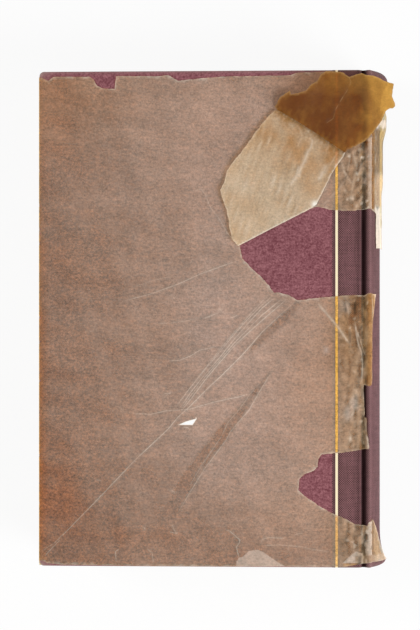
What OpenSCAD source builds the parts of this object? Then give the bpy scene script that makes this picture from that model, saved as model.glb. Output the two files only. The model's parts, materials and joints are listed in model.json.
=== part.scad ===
// Hardback book, quarter bound in cloth and paper, in a torn glassine wrapper.
// It lies on its front cover with its back cover up.
// +X runs to the spine, +Y to the head and +Z up.
// The origin is the centre of the face that it rests on.

/* [Covers] */
// Height of the covers
cover_h = 222; // [190:1:260]
// Width of a cover, from the crest of the joint to the fore edge
cover_w = 148; // [130:1:180]
// Thickness of the boards
board_t = 2.5; // [2:0.1:3.2]
// Radius of the worn corners at the fore edge
corner_r = 2.3; // [1:0.1:5]
// Thickness of the book cloth and of the side paper
skin_t = 0.3; // [0.2:0.05:0.4]
// Width of the cloth that shows, from the crest of the joint
cloth_w = 16.6; // [12:0.2:30]
// Width of the cloth under the edge of the side paper
lap_w = 3; // [1:0.5:6]
// Thickness of the cloth pressed under the side paper
lap_t = 0.12; // [0.08:0.01:0.15]
// Width of the turned-in cloth and paper
turn_in = 15; // [10:1:20]
// Distance of the gilt rule from the edge of the side paper
rule_in = 2; // [1:0.1:4]
// Width of the gilt rule
rule_w = 1.1; // [0.5:0.1:2]
// Depth to which the gilt rule is blocked
rule_sink = 0.1; // [0.06:0.01:0.15]
// Thickness of the gilt foil
foil_t = 0.05; // [0.03:0.01:0.06]

/* [Joints] */
// Distance from the crest of the joint to the covered edge of the board
groove_w = 3.4; // [2.8:0.1:5]
// Flat bottom of the groove, beside the board
groove_flat = 0.5; // [0.2:0.1:1]
// Depth of the groove, which is also the rounding of the board's covered edge
groove_depth = 2.24; // [1.6:0.02:2.4]
// Radius of the bead of cloth on which a cover turns
bead_r = 0.3; // [0.25:0.05:0.5]
// Clearance between the bead and the cloth of the spine
joint_gap = 0.2; // [0.15:0.05:0.4]
// Width of the gauze glued to the inside of a board
gauze_w = 25; // [18:1:40]

/* [Spine] */
// Rise of the round of the spine, over the cloth
spine_round = 5; // [4:0.1:7]
// Thickness of the card inlay
card_t = 0.7; // [0.4:0.1:1]
// Distance from the crest of a joint to the edge of the card
card_inset = 3; // [2.5:0.1:5]
// Fit of the card between the cloth and its turn-ins
card_fit = 0.02; // [0.01:0.01:0.04]
// Hollow between the lining of the block and the case
hollow_gap = 0.4; // [0.3:0.1:1]
// Swell of the spine at the head
head_swell = 3.6; // [0:0.1:5]
// Swell of the spine at the tail
tail_swell = 2.7; // [0:0.1:5]
// Length over which the spine swells
swell_l = 16; // [10:1:30]
// Length of the rolled cap at the head
head_cap_l = 4.5; // [2:0.1:6]
// Length of the rolled cap at the tail
tail_cap_l = 2.4; // [2:0.1:6]
// Depth to which the cap at the head rolls in
head_cap_d = 4; // [2:0.1:4.6]
// Depth to which the cap at the tail rolls in
tail_cap_d = 3; // [2:0.1:3.6]

/* [Book block] */
// Thickness of the book block
block_t = 28; // [20:1:40]
// Margin of the covers over the leaves at head and tail
square_h = 3; // [2:0.5:5]
// Margin of the covers over the leaves at the fore edge
square_fore = 3.5; // [2:0.5:6]
// Depth of the hollow fore edge
fore_hollow = 4; // [2:0.5:6]
// Height of the backed shoulders
shoulder_h = 1.9; // [1:0.1:2]
// Width over which the leaves bend out to the shoulders
shoulder_w = 3.2; // [2:0.1:5]
// Distance from the crest of a joint to the shoulder's tip
shoulder_x = 1.2; // [1:0.1:2]
// Number of sewn sections
sections = 16; // [8:1:24]
// Depth of the nicks between the folds of the sections
fold_nick = 0.4; // [0.2:0.1:0.8]
// Thickness of an endpaper
leaf_t = 0.15; // [0.1:0.01:0.25]
// Space between a flyleaf and its cover
cover_gap = 0.25; // [0.22:0.01:0.5]
// Glue between the back of the block and what is stuck to it
glue_t = 0.05; // [0.03:0.01:0.1]
// Thickness of the paper lining of the spine
lining_t = 0.4; // [0.2:0.1:0.6]
// Half width of the lining and of the headbands
lining_half = 12.5; // [8:0.5:13.5]
// Radius of a headband's bead
band_r = 0.9; // [0.6:0.1:1.2]
// Thickness of a headband's tape
tape_t = 0.3; // [0.2:0.05:0.4]
// Length of a headband's tape down the spine
tape_l = 8; // [5:1:12]

/* [Wrapper] */
// Thickness of the glassine
glassine_t = 0.12; // [0.08:0.01:0.15]
// Distance of the wrapper's edge below the head of the cover
wrapper_head = 2.4; // [1:0.1:5]
// Distance of the wrapper's edge above the tail of the cover
wrapper_tail = 0.2; // [0.1:0.1:3]
// Distance of a panel's torn edge from the crest of the joint
wrapper_edge = 1; // [1:0.1:2]
// Width of the flaps inside the covers
flap_w = 75; // [40:1:100]
// Height to which the torn tongue stands up
tongue_h = 8; // [3:0.5:12]
// Width of the torn tongue
tongue_w = 38; // [36:1:44]
// Space between the scraps and the cloth of the spine
scrap_gap = 0.1; // [0.05:0.05:0.2]

/* [Hidden] */

// Overcut of every subtracted solid
cut = 1;
// Steps of a curve that is drawn by formula
steps = 12;
// Steps of the round of the spine, from its middle to the edge of the card
round_steps = 8;

// Levels above the middle of the block, from the leaves out to the wrapper
block_u = block_t / 2;
inner_u = block_u + leaf_t + cover_gap;
lining_u = inner_u + leaf_t;
board_u = lining_u + skin_t;
board_top_u = board_u + board_t;
skin_u = board_top_u + skin_t;
mid_z = skin_u + glassine_t;
hinge_u = skin_u - bead_r;
groove_u = skin_u - groove_depth;

// Places along and across the cover
crest_x = cover_w / 2;
half_h = cover_h / 2;
board_edge = groove_w + skin_t;
rule_x = cloth_w - rule_in;
page_half = half_h - square_h;
page_w = cover_w - square_fore;
field_h = half_h - turn_in;
field_w = cover_w - turn_in;
gauze_end = board_edge + gauze_w;

// The bead stands this much over the cloth beside it
bead_proud = 0.05;

// Round of the back of the block, inside lining, hollow, turn-in, card and cloth
back_x = spine_round - 2 * skin_t - card_t - hollow_gap - lining_t - glue_t;
tip_u = block_u + shoulder_h;
back_rise = back_x + shoulder_x;
back_r = arc_r(tip_u, back_rise);

// Torn outlines are points of [distance from the crest, distance from the head or tail]
// Bare window below the fold of the turned-back piece, from the head
window_head = [
    [58.6, 78.5], [23.3, 60.6], [17.5, 62.3], [10.4, 62.8], [5.4, 62.3], [-3, 61.7],
    [-3, 100], [2.5, 100.7], [9, 100.5], [16.6, 101.1], [27.3, 102], [32, 102.7],
    [35.5, 100.7], [42.7, 99.4], [48, 92.5], [51.9, 89], [56.8, 84]
];
// Bare window near the tail, from the tail
window_tail = [
    [-3, 52.8], [2.2, 52.9], [7.8, 51.9], [21, 50.6], [22.8, 48.2], [23, 45.1], [24.8, 43.3],
    [28.9, 41.6], [31.1, 39.7], [31.7, 34.4], [27.9, 31.3], [23.5, 28.2], [17.2, 24.5],
    [12.2, 22.5], [6, 19.3], [-3, 18.6]
];
// Nick in the panel's edge over the groove, from the tail
nick_tail = [[-3, 81], [2.6, 80.5], [2.2, 70], [2.4, 67], [-3, 67]];
// Missing bits at the head of the panel, from the fore edge and the head
gap_fore = [[23.5, 0], [24.6, 3.6], [26.2, 6.4], [28.5, 7.6], [34.2, 7.9], [34.8, 0]];
gap_mid = [[57, 0], [58.2, 2], [62.7, 4.4], [74.2, 3.3], [81.5, 2.5], [84, 0]];
// The piece that is folded back over the panel, from the head
turned_back = [
    [41.4, 17.4], [44.8, 20.3], [51.9, 29.2], [57.3, 36.8], [63.6, 44.9], [66.6, 53.4],
    [63.6, 62.8], [62.7, 69.1], [58.6, 78.5], [23.3, 60.6], [19.7, 52.3], [11.6, 38.4],
    [11, 36.3], [16.1, 33.4], [29.1, 24.8]
];
// Ends of the crease from which the tongue stands up, from the head
crease_start = [41.4, 17.4];
crease_end = [11, 36.3];
// Outline of the tongue seen from above, from the head
tongue_outline = [
    [43, 17], [41.4, 15.2], [35.4, 9.5], [34.9, 11.1], [28.2, 9.5], [21.6, 2.7], [19.2, 1.1],
    [11.6, 1.9], [9.1, 4], [6, 2.7], [-4, 4.2], [-10.4, 6.9], [-9.6, 12.4], [-10.8, 17],
    [-6.9, 19.4], [-4.9, 23.9], [2.2, 32.2], [9.8, 35.6], [10.6, 38]
];
// Scraps left on the spine: [distance from the end, upper edge, lower edge] for each row,
// the edges as heights over the middle of the spine
head_scrap_rows = [
    [17, 16.2, 4], [20.5, 16.2, 1], [24, 16.2, -2], [40, 16.2, -4], [55, 16.2, -4],
    [61.5, 16.2, -3], [62.3, 14, -3], [63, 12, -3], [72, 12.5, -4], [79.5, 12, -2]
];
tail_scrap_rows = [
    [21, 16.2, 13], [14, 16.2, 10], [10, 16.2, 8], [7, 16.2, 6], [4.5, 16.2, 4.5], [2.6, 16.2, 3]
];

// Radius of the arc with this half chord and this rise
function arc_r(half, rise) = (half * half + rise * rise) / (2 * rise);
// Height of that arc over its chord
function arc_x(u, half, rise) =
    let (r = arc_r(half, rise)) sqrt(r * r - u * u) - r + rise;

// Unit vector square to a stretch of a path, on its left
function side_of(a, b) = [a.y - b.y, b.x - a.x] / norm(b - a);
// A path moved sideways by t, with mitred corners
function beside(path, t) = [
    for (i = [0:len(path) - 1])
    let (n = len(path) - 1,
         before = side_of(path[max(i - 1, 0)], path[max(i, 1)]),
         after = side_of(path[min(i, n - 1)], path[min(i + 1, n)]))
    path[i] + t * (before + after) / (1 + before * after)
];
function reversed(list) = [for (i = [len(list) - 1:-1:0]) list[i]];
// Outline of a sheet whose one face is the path
function sheet(path, t) = concat(path, reversed(beside(path, t)));

// Outer face of the cloth, from the crest down into the groove and up over the board
groove_curve = [
    for (i = [0:steps])
    let (x = (groove_w - groove_flat) * i / steps,
         rise = skin_u - bead_proud - groove_u)
    [-x, groove_u + rise * (1 + cos(180 * i / steps)) / 2]
];
edge_curve = [
    for (i = [0:steps])
    let (a = 90 * i / steps)
    [-groove_w - groove_depth * (1 - cos(a)), groove_u + groove_depth * sin(a)]
];
cloth_face = concat(groove_curve, edge_curve, [[-cloth_w, skin_u]]);

// Place of a cover: 1 is the back cover, -1 the front cover
module on_cover(side) {
    translate([crest_x, 0, mid_z]) mirror([0, 0, side < 0 ? 1 : 0]) children();
}

// Prism along the spine, from an outline in x and height
module along_spine(outline, length) {
    rotate([90, 0, 0]) linear_extrude(length, center = true) polygon(outline);
}

// Box between two distances from the crest, within a half height, between two levels
module slab(x0, x1, half, u0, u1) {
    translate([-x1, -half, u0]) cube([x1 - x0, 2 * half, u1 - u0]);
}

// Outline of a cover with worn corners, from a distance from the crest
function cover_outline(x0, inset) =
    let (r = corner_r - inset, w = cover_w - inset, h = half_h - inset)
    concat(
        [[-x0, -h], [-x0, h]],
        [for (i = [0:steps / 2]) [-w + r, h - r] + r * [-sin(180 * i / steps), cos(180 * i / steps)]],
        [for (i = [0:steps / 2]) [-w + r, r - h] + r * [-cos(180 * i / steps), -sin(180 * i / steps)]]
    );
module cover_plate(x0, inset, u0, u1) {
    translate([0, 0, u0]) linear_extrude(u1 - u0) polygon(cover_outline(x0, inset));
}

// Torn outlines in cover coordinates
function from_head(points) = [for (p = points) [-p.x, half_h - p.y]];
function from_tail(points) = [for (p = points) [-p.x, p.y - half_h]];
function from_fore(points) = [for (p = points) [p.x - cover_w, half_h - p.y]];
module torn(outline, u0, u1) {
    translate([0, 0, u0]) linear_extrude(u1 - u0) polygon(outline);
}

// Greyboard with its inner edge rounded towards the groove
module board() {
    r = groove_depth - skin_t;
    round_edge = [
        for (i = [0:steps])
        let (a = 90 * i / steps)
        [-board_edge - r * (1 - cos(a)), board_top_u - r + r * sin(a)]
    ];
    intersection() {
        cover_plate(board_edge, skin_t, board_u, board_top_u);
        along_spine(
            concat([[-cover_w, board_u], [-board_edge, board_u]], round_edge, [[-cover_w, board_top_u]]),
            cover_h
        );
    }
}

// Book cloth over the joint and the inner edge of the board, with its turn-ins
module cover_cloth() {
    hem = square_h - joint_gap;
    end_wall = concat(edge_curve, [[-cloth_w, skin_u], [-cloth_w, lining_u], [-groove_w, lining_u]]);
    difference() {
        union() {
            along_spine(sheet(cloth_face, skin_t), cover_h);
            translate([0, 0, hinge_u]) rotate([90, 0, 0])
                cylinder(r = bead_r, h = cover_h, center = true, $fn = 32);
            slab(cloth_w - cut, cloth_w + lap_w, half_h - skin_t, board_top_u, board_top_u + lap_t);
            for (s = [-1, 1]) {
                translate([0, s * (half_h - skin_t / 2), 0]) along_spine(end_wall, skin_t);
                translate([0, s * (half_h - hem / 2), 0]) along_spine(sheet(groove_curve, 2 * skin_t), hem);
                translate([0, s * (half_h - turn_in / 2), 0])
                    slab(groove_w, cloth_w, turn_in / 2, lining_u, board_u);
            }
        }
        slab(rule_x - rule_w / 2, rule_x + rule_w / 2, half_h + cut, skin_u - rule_sink, skin_u + cut);
    }
}

// Gilt line blocked into the cloth
module gilt_rule() {
    foil_u = skin_u - rule_sink;
    slab(rule_x - rule_w / 2, rule_x + rule_w / 2, half_h, foil_u, foil_u + foil_t);
}

// Side paper, wrapped over three edges of the board and laid over the edge of the cloth
module side_paper() {
    difference() {
        cover_plate(cloth_w, 0, lining_u, skin_u);
        cover_plate(cloth_w - cut, skin_t, board_u, board_top_u);
        slab(cloth_w - cut, field_w, field_h, lining_u - cut, board_u + cut);
        slab(cloth_w - cut, cloth_w + lap_w, half_h - skin_t, board_top_u - cut, board_top_u + lap_t);
    }
}

// Gauze from the groove over the inner edge of the board
module hinge_gauze() {
    face = [[-gauze_end, board_u], [-board_edge, board_u], [-groove_w, groove_u - skin_t]];
    along_spine(concat(face, reversed(beside(face, -skin_t))), 2 * field_h);
}

// Endpaper pasted over turn-ins and gauze, and sunk onto the board between them
module pastedown() {
    difference() {
        union() {
            slab(board_edge, page_w, page_half, inner_u, lining_u);
            slab(gauze_end, field_w, field_h, inner_u, board_u);
        }
        slab(gauze_end + leaf_t, field_w - leaf_t, field_h - leaf_t, inner_u - cut, board_u - leaf_t);
    }
}

// Leaves bend out to the shoulder along this curve, on the face of the block
shoulder_curve = [
    for (i = [0:steps])
    [-shoulder_x - shoulder_w * (1 - i / steps), block_u + shoulder_h * pow(i / steps, 2)]
];
module flyleaf() {
    leaf = concat([[-page_w, block_u]], shoulder_curve);
    along_spine(sheet(leaf, leaf_t), 2 * page_half);
}

// Solid wrapper of a cover: outer face, wall at the fore edge and flap inside
module wrapper_panel() {
    wall_x = cover_w + glassine_t;
    y0 = wrapper_tail - half_h;
    length = cover_h - wrapper_head - wrapper_tail;
    outline = [
        [-wrapper_edge, skin_u], [-wrapper_edge, skin_u + glassine_t],
        [-wall_x, skin_u + glassine_t], [-wall_x, inner_u - glassine_t],
        [flap_w - cover_w, inner_u - glassine_t], [flap_w - cover_w, inner_u],
        [-cover_w, inner_u], [-cover_w, skin_u]
    ];
    translate([0, y0 + length / 2, 0]) along_spine(outline, length);
}

module wrapper_torn_panel() {
    high = skin_u + cut;
    difference() {
        wrapper_panel();
        torn(from_head(window_head), board_top_u, high);
        torn(from_tail(window_tail), board_top_u, high);
        torn(from_tail(nick_tail), board_top_u, high);
        torn(from_fore(gap_fore), board_top_u, high);
        torn(from_fore(gap_mid), board_top_u, high);
    }
    torn(from_head(turned_back), skin_u + glassine_t, skin_u + 2 * glassine_t);
}

// Torn strip that stands up from its crease and curls over towards the spine
module tongue() {
    ends = from_head([crease_start, crease_end]);
    run = ends[1] - ends[0];
    base_u = skin_u + 2 * glassine_t;
    curl = [for (i = [0:2 * steps]) [tongue_w * i / (2 * steps), tongue_h * sin(75 * i / steps)]];
    intersection() {
        translate([ends[0].x, ends[0].y, base_u]) rotate([0, 0, atan2(run.y, run.x) + 90])
            along_spine(sheet(curl, glassine_t), 3 * norm(run));
        torn(from_head(tongue_outline), base_u, base_u + 2 * tongue_h);
    }
}

// Rows of the spine's outer face from the middle to one end: [place along y, swell, turn of the cap]
function spine_end(swell, cap_l, cap_d) = concat(
    [for (i = [0:steps / 2])
        let (k = 2 * i / steps)
        [half_h - cap_l - swell_l * (1 - k), swell * pow(k, 3), 0]],
    [for (i = [1:steps / 2])
        let (a = 180 * i / steps)
        [half_h - cap_l * (1 - sin(a)), swell - cap_d * (1 - cos(a)), sin(a)]]
);
head_rows = spine_end(head_swell, head_cap_l, head_cap_d);
tail_rows = [for (r = spine_end(tail_swell, tail_cap_l, tail_cap_d)) [-r[0], r[1], -r[2]]];

// Share of the swell, and of the depth under the card, at a height over the middle
function swell_share(u) = 1 - pow(u / hinge_u, 2);
card_half = hinge_u - card_inset;
function card_share(u) = min(1, max(0, card_half + 1 - abs(u)));

// Point of the spine on a row, at a height, at a depth below its outer face and from its end
function spine_point(row, u, depth, end_depth) = [
    arc_x(u, hinge_u, spine_round) + row[1] * swell_share(u) - depth,
    row[0] - row[2] * end_depth,
    u
];
function rows_at(rows, u, depth) = [for (r = rows) spine_point(r, u, depth, depth)];

// Solid between successive closed loops of points
module loft(loops) {
    n = len(loops[0]);
    m = len(loops);
    sides = [
        for (j = [0:m - 2]) for (i = [0:n - 1])
        let (a = j * n + i, b = j * n + (i + 1) % n)
        each [[a, b, b + n], [a, b + n, a + n]]
    ];
    ends = [[for (i = [n - 1:-1:0]) i], [for (i = [0:n - 1]) (m - 1) * n + i]];
    polyhedron([for (loop = loops) each loop], concat(sides, ends), convexity = 8);
}

// Cloth of the spine: one sheet that rolls over both ends and turns in behind the card
cloth_end_u = hinge_u - bead_r - joint_gap;
spine_heights = concat(
    [-cloth_end_u, -card_half - 1],
    [for (i = [-round_steps:round_steps]) card_half * i / round_steps],
    [card_half + 1, cloth_end_u]
);
turned_rows_head = [for (r = head_rows) if (r[0] > half_h - turn_in) r];
turned_rows_tail = [for (r = tail_rows) if (r[0] < turn_in - half_h) r];
all_rows = concat(reversed(tail_rows), head_rows);
head_end = head_rows[len(head_rows) - 1];
tail_end = tail_rows[len(tail_rows) - 1];
function cloth_loop(u) =
    let (turn_out = skin_t + 2 * card_fit + card_t * card_share(u),
         turn_back = turn_out + skin_t)
    concat(
        rows_at(all_rows, u, 0),
        [spine_point(head_end, u, turn_back, 0)],
        rows_at(reversed(turned_rows_head), u, turn_back),
        rows_at(turned_rows_head, u, turn_out),
        [spine_point(head_end, u, turn_out, skin_t)],
        rows_at(reversed(all_rows), u, skin_t),
        [spine_point(tail_end, u, turn_out, skin_t)],
        rows_at(reversed(turned_rows_tail), u, turn_out),
        rows_at(turned_rows_tail, u, turn_back),
        [spine_point(tail_end, u, turn_back, 0)]
    );

// Card inlay: it stops inside the rolled caps
card_rows = [for (r = all_rows) if (abs(r[2]) < 0.3) r];
function card_loop(u) = concat(
    rows_at(card_rows, u, skin_t + card_fit),
    rows_at(reversed(card_rows), u, skin_t + card_t - card_fit)
);

// Swell of the spine at a place along y, for what lies on its cloth
function swell_at(y) =
    let (swell = y > 0 ? head_swell : tail_swell,
         cap_l = y > 0 ? head_cap_l : tail_cap_l,
         k = min(1, max(0, 1 - (half_h - cap_l - abs(y)) / swell_l)))
    swell * pow(k, 3);

// Thin scrap on the spine, one loop for each row
module spine_scrap(rows, end) {
    loft([
        for (r = rows)
        let (y = end * (half_h - r[0]),
             heights = [for (i = [0:steps]) r[1] + (r[2] - r[1]) * i / steps])
        concat(
            [for (u = heights) spine_point([y, swell_at(y), 0], u, -scrap_gap, 0)],
            [for (u = reversed(heights)) spine_point([y, swell_at(y), 0], u, -scrap_gap - glassine_t, 0)]
        )
    ]);
}

// Profile of the book block: back with nicks between the folds, shoulders and hollow fore edge
fold_pitch = 2 * tip_u / sections;
back_points = [
    for (i = [0:sections - 1])
    let (top = tip_u - i * fold_pitch, nick = i > 0 ? fold_nick : 0)
    each [
        [arc_x(top, tip_u, back_rise) - shoulder_x - nick, top],
        [arc_x(top - fold_pitch / 4, tip_u, back_rise) - shoulder_x, top - fold_pitch / 4],
        [arc_x(top - fold_pitch * 3 / 4, tip_u, back_rise) - shoulder_x, top - fold_pitch * 3 / 4]
    ]
];
fore_points = [
    for (i = [1:steps - 1])
    let (u = block_u * (2 * i / steps - 1))
    [arc_x(u, block_u, fore_hollow) - page_w, u]
];
block_outline = concat(
    [[-page_w, block_u]],
    shoulder_curve,
    [for (i = [1:len(back_points) - 1]) back_points[i]],
    [for (p = reversed(shoulder_curve)) [p.x, -p.y]],
    [[-page_w, -block_u]],
    fore_points
);

module on_spine() {
    translate([crest_x, 0, mid_z]) children();
}

// Part of a ring about the centre of the back's round
module back_ring() {
    span = asin(lining_half / back_r);
    translate([back_x - back_r, 0, 0]) rotate([90, 0, 0]) rotate([0, 0, -span])
        rotate_extrude(angle = 2 * span, $fn = 96) children();
}

// Headband: a bead on the end of the leaves and a tape glued to the back
module band(end) {
    tape_r = back_r + glue_t;
    back_ring() union() {
        translate([tape_r - band_r + tape_t, -end * (page_half + band_r)]) circle(r = band_r, $fn = 24);
        translate([tape_r, end > 0 ? -page_half - band_r : page_half - tape_l])
            square([tape_t, tape_l + band_r]);
    }
}

module text_block() {
    color("ivory") on_spine() along_spine(block_outline, 2 * page_half);
}
module spine_lining() {
    lining_l = 2 * (page_half - tape_l - joint_gap);
    color("tan") on_spine()
        back_ring() translate([back_r + glue_t, -lining_l / 2]) square([lining_t, lining_l]);
}
module head_band() {
    color("firebrick") on_spine() band(1);
}
module tail_band() {
    color("firebrick") on_spine() band(-1);
}
module front_flyleaf() {
    color("antiquewhite") on_cover(-1) flyleaf();
}
module back_flyleaf() {
    color("antiquewhite") on_cover(1) flyleaf();
}
module spine_card() {
    color("burlywood") on_spine()
        loft([for (u = spine_heights) if (abs(u) < card_half + 0.5) card_loop(u)]);
}
module spine_cloth() {
    color("rosybrown") on_spine() loft([for (u = spine_heights) cloth_loop(u)]);
}
module wrapper_head_scrap() {
    color("peru") on_spine() spine_scrap(head_scrap_rows, 1);
}
module wrapper_tail_scrap() {
    color("peru") on_spine() spine_scrap(tail_scrap_rows, -1);
}
module back_board() {
    color("darkkhaki") on_cover(1) board();
}
module back_cloth() {
    color([0.36, 0.22, 0.24]) on_cover(1) cover_cloth();
}
module back_gilt_rule() {
    color("gold") on_cover(1) gilt_rule();
}
module back_side_paper() {
    color([0.54, 0.33, 0.36]) on_cover(1) side_paper();
}
module back_hinge_gauze() {
    color("beige") on_cover(1) hinge_gauze();
}
module back_pastedown() {
    color("linen") on_cover(1) pastedown();
}
module wrapper_back() {
    color([0.66, 0.54, 0.44]) on_cover(1) wrapper_torn_panel();
}
module wrapper_tongue() {
    color([0.6, 0.38, 0.12]) on_cover(1) tongue();
}
module front_board() {
    color("darkkhaki") on_cover(-1) board();
}
module front_cloth() {
    color([0.36, 0.22, 0.24]) on_cover(-1) cover_cloth();
}
module front_gilt_rule() {
    color("gold") on_cover(-1) gilt_rule();
}
module front_side_paper() {
    color([0.54, 0.33, 0.36]) on_cover(-1) side_paper();
}
module front_hinge_gauze() {
    color("beige") on_cover(-1) hinge_gauze();
}
module front_pastedown() {
    color("linen") on_cover(-1) pastedown();
}
module wrapper_front() {
    color([0.66, 0.54, 0.44]) on_cover(-1) wrapper_panel();
}

text_block();
spine_lining();
head_band();
tail_band();
front_flyleaf();
back_flyleaf();
spine_card();
spine_cloth();
wrapper_head_scrap();
wrapper_tail_scrap();
back_board();
back_cloth();
back_gilt_rule();
back_side_paper();
back_hinge_gauze();
back_pastedown();
wrapper_back();
wrapper_tongue();
front_board();
front_cloth();
front_gilt_rule();
front_side_paper();
front_hinge_gauze();
front_pastedown();
wrapper_front();
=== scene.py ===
import json
import math
import random

import bpy
import numpy as np
from mathutils import Matrix, Vector
from mathutils.geometry import delaunay_2d_cdt

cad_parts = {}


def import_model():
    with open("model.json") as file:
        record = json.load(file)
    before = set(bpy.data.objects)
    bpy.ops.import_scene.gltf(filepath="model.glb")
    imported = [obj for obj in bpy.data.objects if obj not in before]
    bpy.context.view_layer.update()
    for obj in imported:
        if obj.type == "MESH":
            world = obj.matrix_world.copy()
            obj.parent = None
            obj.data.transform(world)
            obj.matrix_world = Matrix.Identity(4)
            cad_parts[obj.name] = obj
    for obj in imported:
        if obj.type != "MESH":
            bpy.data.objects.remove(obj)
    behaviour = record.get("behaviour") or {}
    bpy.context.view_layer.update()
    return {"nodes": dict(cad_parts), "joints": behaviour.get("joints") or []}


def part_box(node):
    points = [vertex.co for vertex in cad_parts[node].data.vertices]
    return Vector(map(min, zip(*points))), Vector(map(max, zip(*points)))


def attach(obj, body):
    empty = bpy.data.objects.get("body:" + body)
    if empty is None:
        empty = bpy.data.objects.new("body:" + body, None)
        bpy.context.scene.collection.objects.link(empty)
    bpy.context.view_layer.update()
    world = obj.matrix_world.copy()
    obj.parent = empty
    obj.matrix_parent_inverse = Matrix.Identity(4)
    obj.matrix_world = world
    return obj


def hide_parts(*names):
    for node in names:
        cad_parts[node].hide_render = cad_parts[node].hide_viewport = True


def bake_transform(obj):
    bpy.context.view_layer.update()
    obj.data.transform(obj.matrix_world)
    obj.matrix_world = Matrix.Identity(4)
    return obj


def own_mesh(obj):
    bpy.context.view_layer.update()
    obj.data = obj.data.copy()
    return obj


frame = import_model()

# All torn edges draw from this one, in the order in which the pieces are built
rng = random.Random(11)

# Sizes, in mm. x counts from the crest of a joint towards the spine, u is the height over the
# middle of the book's thickness, and p is the distance from the crest towards the fore edge.
MM = 0.001


def box_mm(name):
    lo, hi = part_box(name)
    return [v / MM for v in lo], [v / MM for v in hi]


paper_lo, paper_hi = box_mm("back_side_paper")
front_lo, _ = box_mm("front_side_paper")
block_lo, _ = box_mm("text_block")
rule_lo, rule_hi = box_mm("back_gilt_rule")
flyleaf_lo, _ = box_mm("back_flyleaf")
CREST_X = frame["joints"][0]["pos_m"][0] / MM
HINGE_U = (frame["joints"][0]["pos_m"][2] - frame["joints"][1]["pos_m"][2]) / MM / 2
MID_Z = (paper_hi[2] + front_lo[2]) / 2
SKIN_U = paper_hi[2] - MID_Z
HALF_H = paper_hi[1]
COVER_W = CREST_X - paper_lo[0]
INNER_U = box_mm("back_pastedown")[0][2] - MID_Z
LINING_U = paper_lo[2] - MID_Z
CLOTH_W = 16.6
SKIN_T, FLYLEAF_T = 0.3, 0.15
TURN_IN = 15
GROOVE_W, GROOVE_FLAT, GROOVE_DEPTH = 3.4, 0.5, 2.24
BEAD_R, BEAD_PROUD = 0.3, 0.05
SPINE_ROUND = 5
CARD_T, CARD_FIT, CARD_INSET = 0.7, 0.02, 3
HEAD_SWELL, TAIL_SWELL, SWELL_L = 3.6, 2.7, 16
HEAD_CAP_L, TAIL_CAP_L, HEAD_CAP_D, TAIL_CAP_D = 4.5, 2.4, 4, 3
BLOCK_U, PAGE_HALF, PAGE_W = 14, 108, 144.5
FORE_HOLLOW, SHOULDER_H, SHOULDER_W, SHOULDER_X = 4, 1.9, 3.2, 1.2
GLASSINE_T, FLAP_W = 0.12, 75
WRAPPER_HEAD, WRAPPER_TAIL = 2.4, 0.2
FLOAT = 0.03
# Distances from the crest across a joint, named for where the pieces that cross it start and stop to bend;
# nothing here bends them, and only PASTED_BENT is used, where the pasted endpaper leaves the joint's shape
JOINT_START, CLOTH_BENT, WRAPPER_BENT, PASTED_BENT = -0.05, 3.2, 3.6, 3.7

# The photograph: pixels of the crest of the joint and of the cover's middle, mm a pixel, its height
CREST_PX, MID_PX, PX_MM, PHOTO_H = 369.0, 318.7, 0.4476, 630


def at(x, y):
    """Cover coordinates [distance from the crest, height] of a pixel."""
    return ((CREST_PX - x) * PX_MM, (MID_PX - y) * PX_MM)


def pixels(line):
    """Cover coordinates of a line of pixels."""
    return [at(*q) for q in line]


def arc_r(half, rise):
    """Radius of an arc from half its chord and its rise."""
    return (half * half + rise * rise) / (2 * rise)


SPINE_R = arc_r(HINGE_U, SPINE_ROUND)


def spine_x(u):
    """x of the spine's round at a height."""
    return np.sqrt(SPINE_R**2 - np.square(u)) - SPINE_R + SPINE_ROUND


def unit(v):
    return np.clip(v, 0, 1)


def smooth(a, b, v):
    """Smooth step from 0 at a to 1 at b."""
    t = unit((np.asarray(v, float) - a) / np.subtract(b, a))
    return t * t * (3 - 2 * t)


def bell(d, width):
    """1 at no distance, and 1/e at a distance of this width."""
    return np.exp(-np.square(d / width))


def fade(d, reach):
    """1 at no distance, falling evenly to 0 at this reach."""
    return unit(1 - d / reach)


def swell_at(y):
    """How far the spine's round swells out beyond its plain part, at a height of the cover."""
    y = np.asarray(y, float)
    big = np.where(y > 0, HEAD_SWELL, TAIL_SWELL)
    cap = np.where(y > 0, HEAD_CAP_L, TAIL_CAP_L)
    return big * fade(HALF_H - cap - np.abs(y), SWELL_L) ** 3


def cloth_level(d):
    """Height of the outer face of the cloth at a distance from the crest."""
    low = SKIN_U - GROOVE_DEPTH
    rise = SKIN_U - BEAD_PROUD - low
    run = GROOVE_W - GROOVE_FLAT
    centre = GROOVE_W + GROOVE_DEPTH
    if d < run:
        return low + rise * (1 + math.cos(math.pi * d / run)) / 2
    if d < GROOVE_W:
        return low
    if d < centre:
        return low + math.sqrt(GROOVE_DEPTH**2 - (centre - d) ** 2)
    return SKIN_U


# Mesh helpers
def add_object(name, data):
    made = bpy.data.objects.new(name, data)
    bpy.context.scene.collection.objects.link(made)
    return made


def outward(verts, faces):
    """The faces of a closed mesh, turned so that they look outwards."""
    verts = np.asarray(verts)
    volume = 0.0
    for f in faces:
        for i in range(1, len(f) - 1):
            volume += float(np.dot(verts[f[0]], np.cross(verts[f[i]], verts[f[i + 1]])))
    return faces if volume > 0 else [f[::-1] for f in faces]


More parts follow.
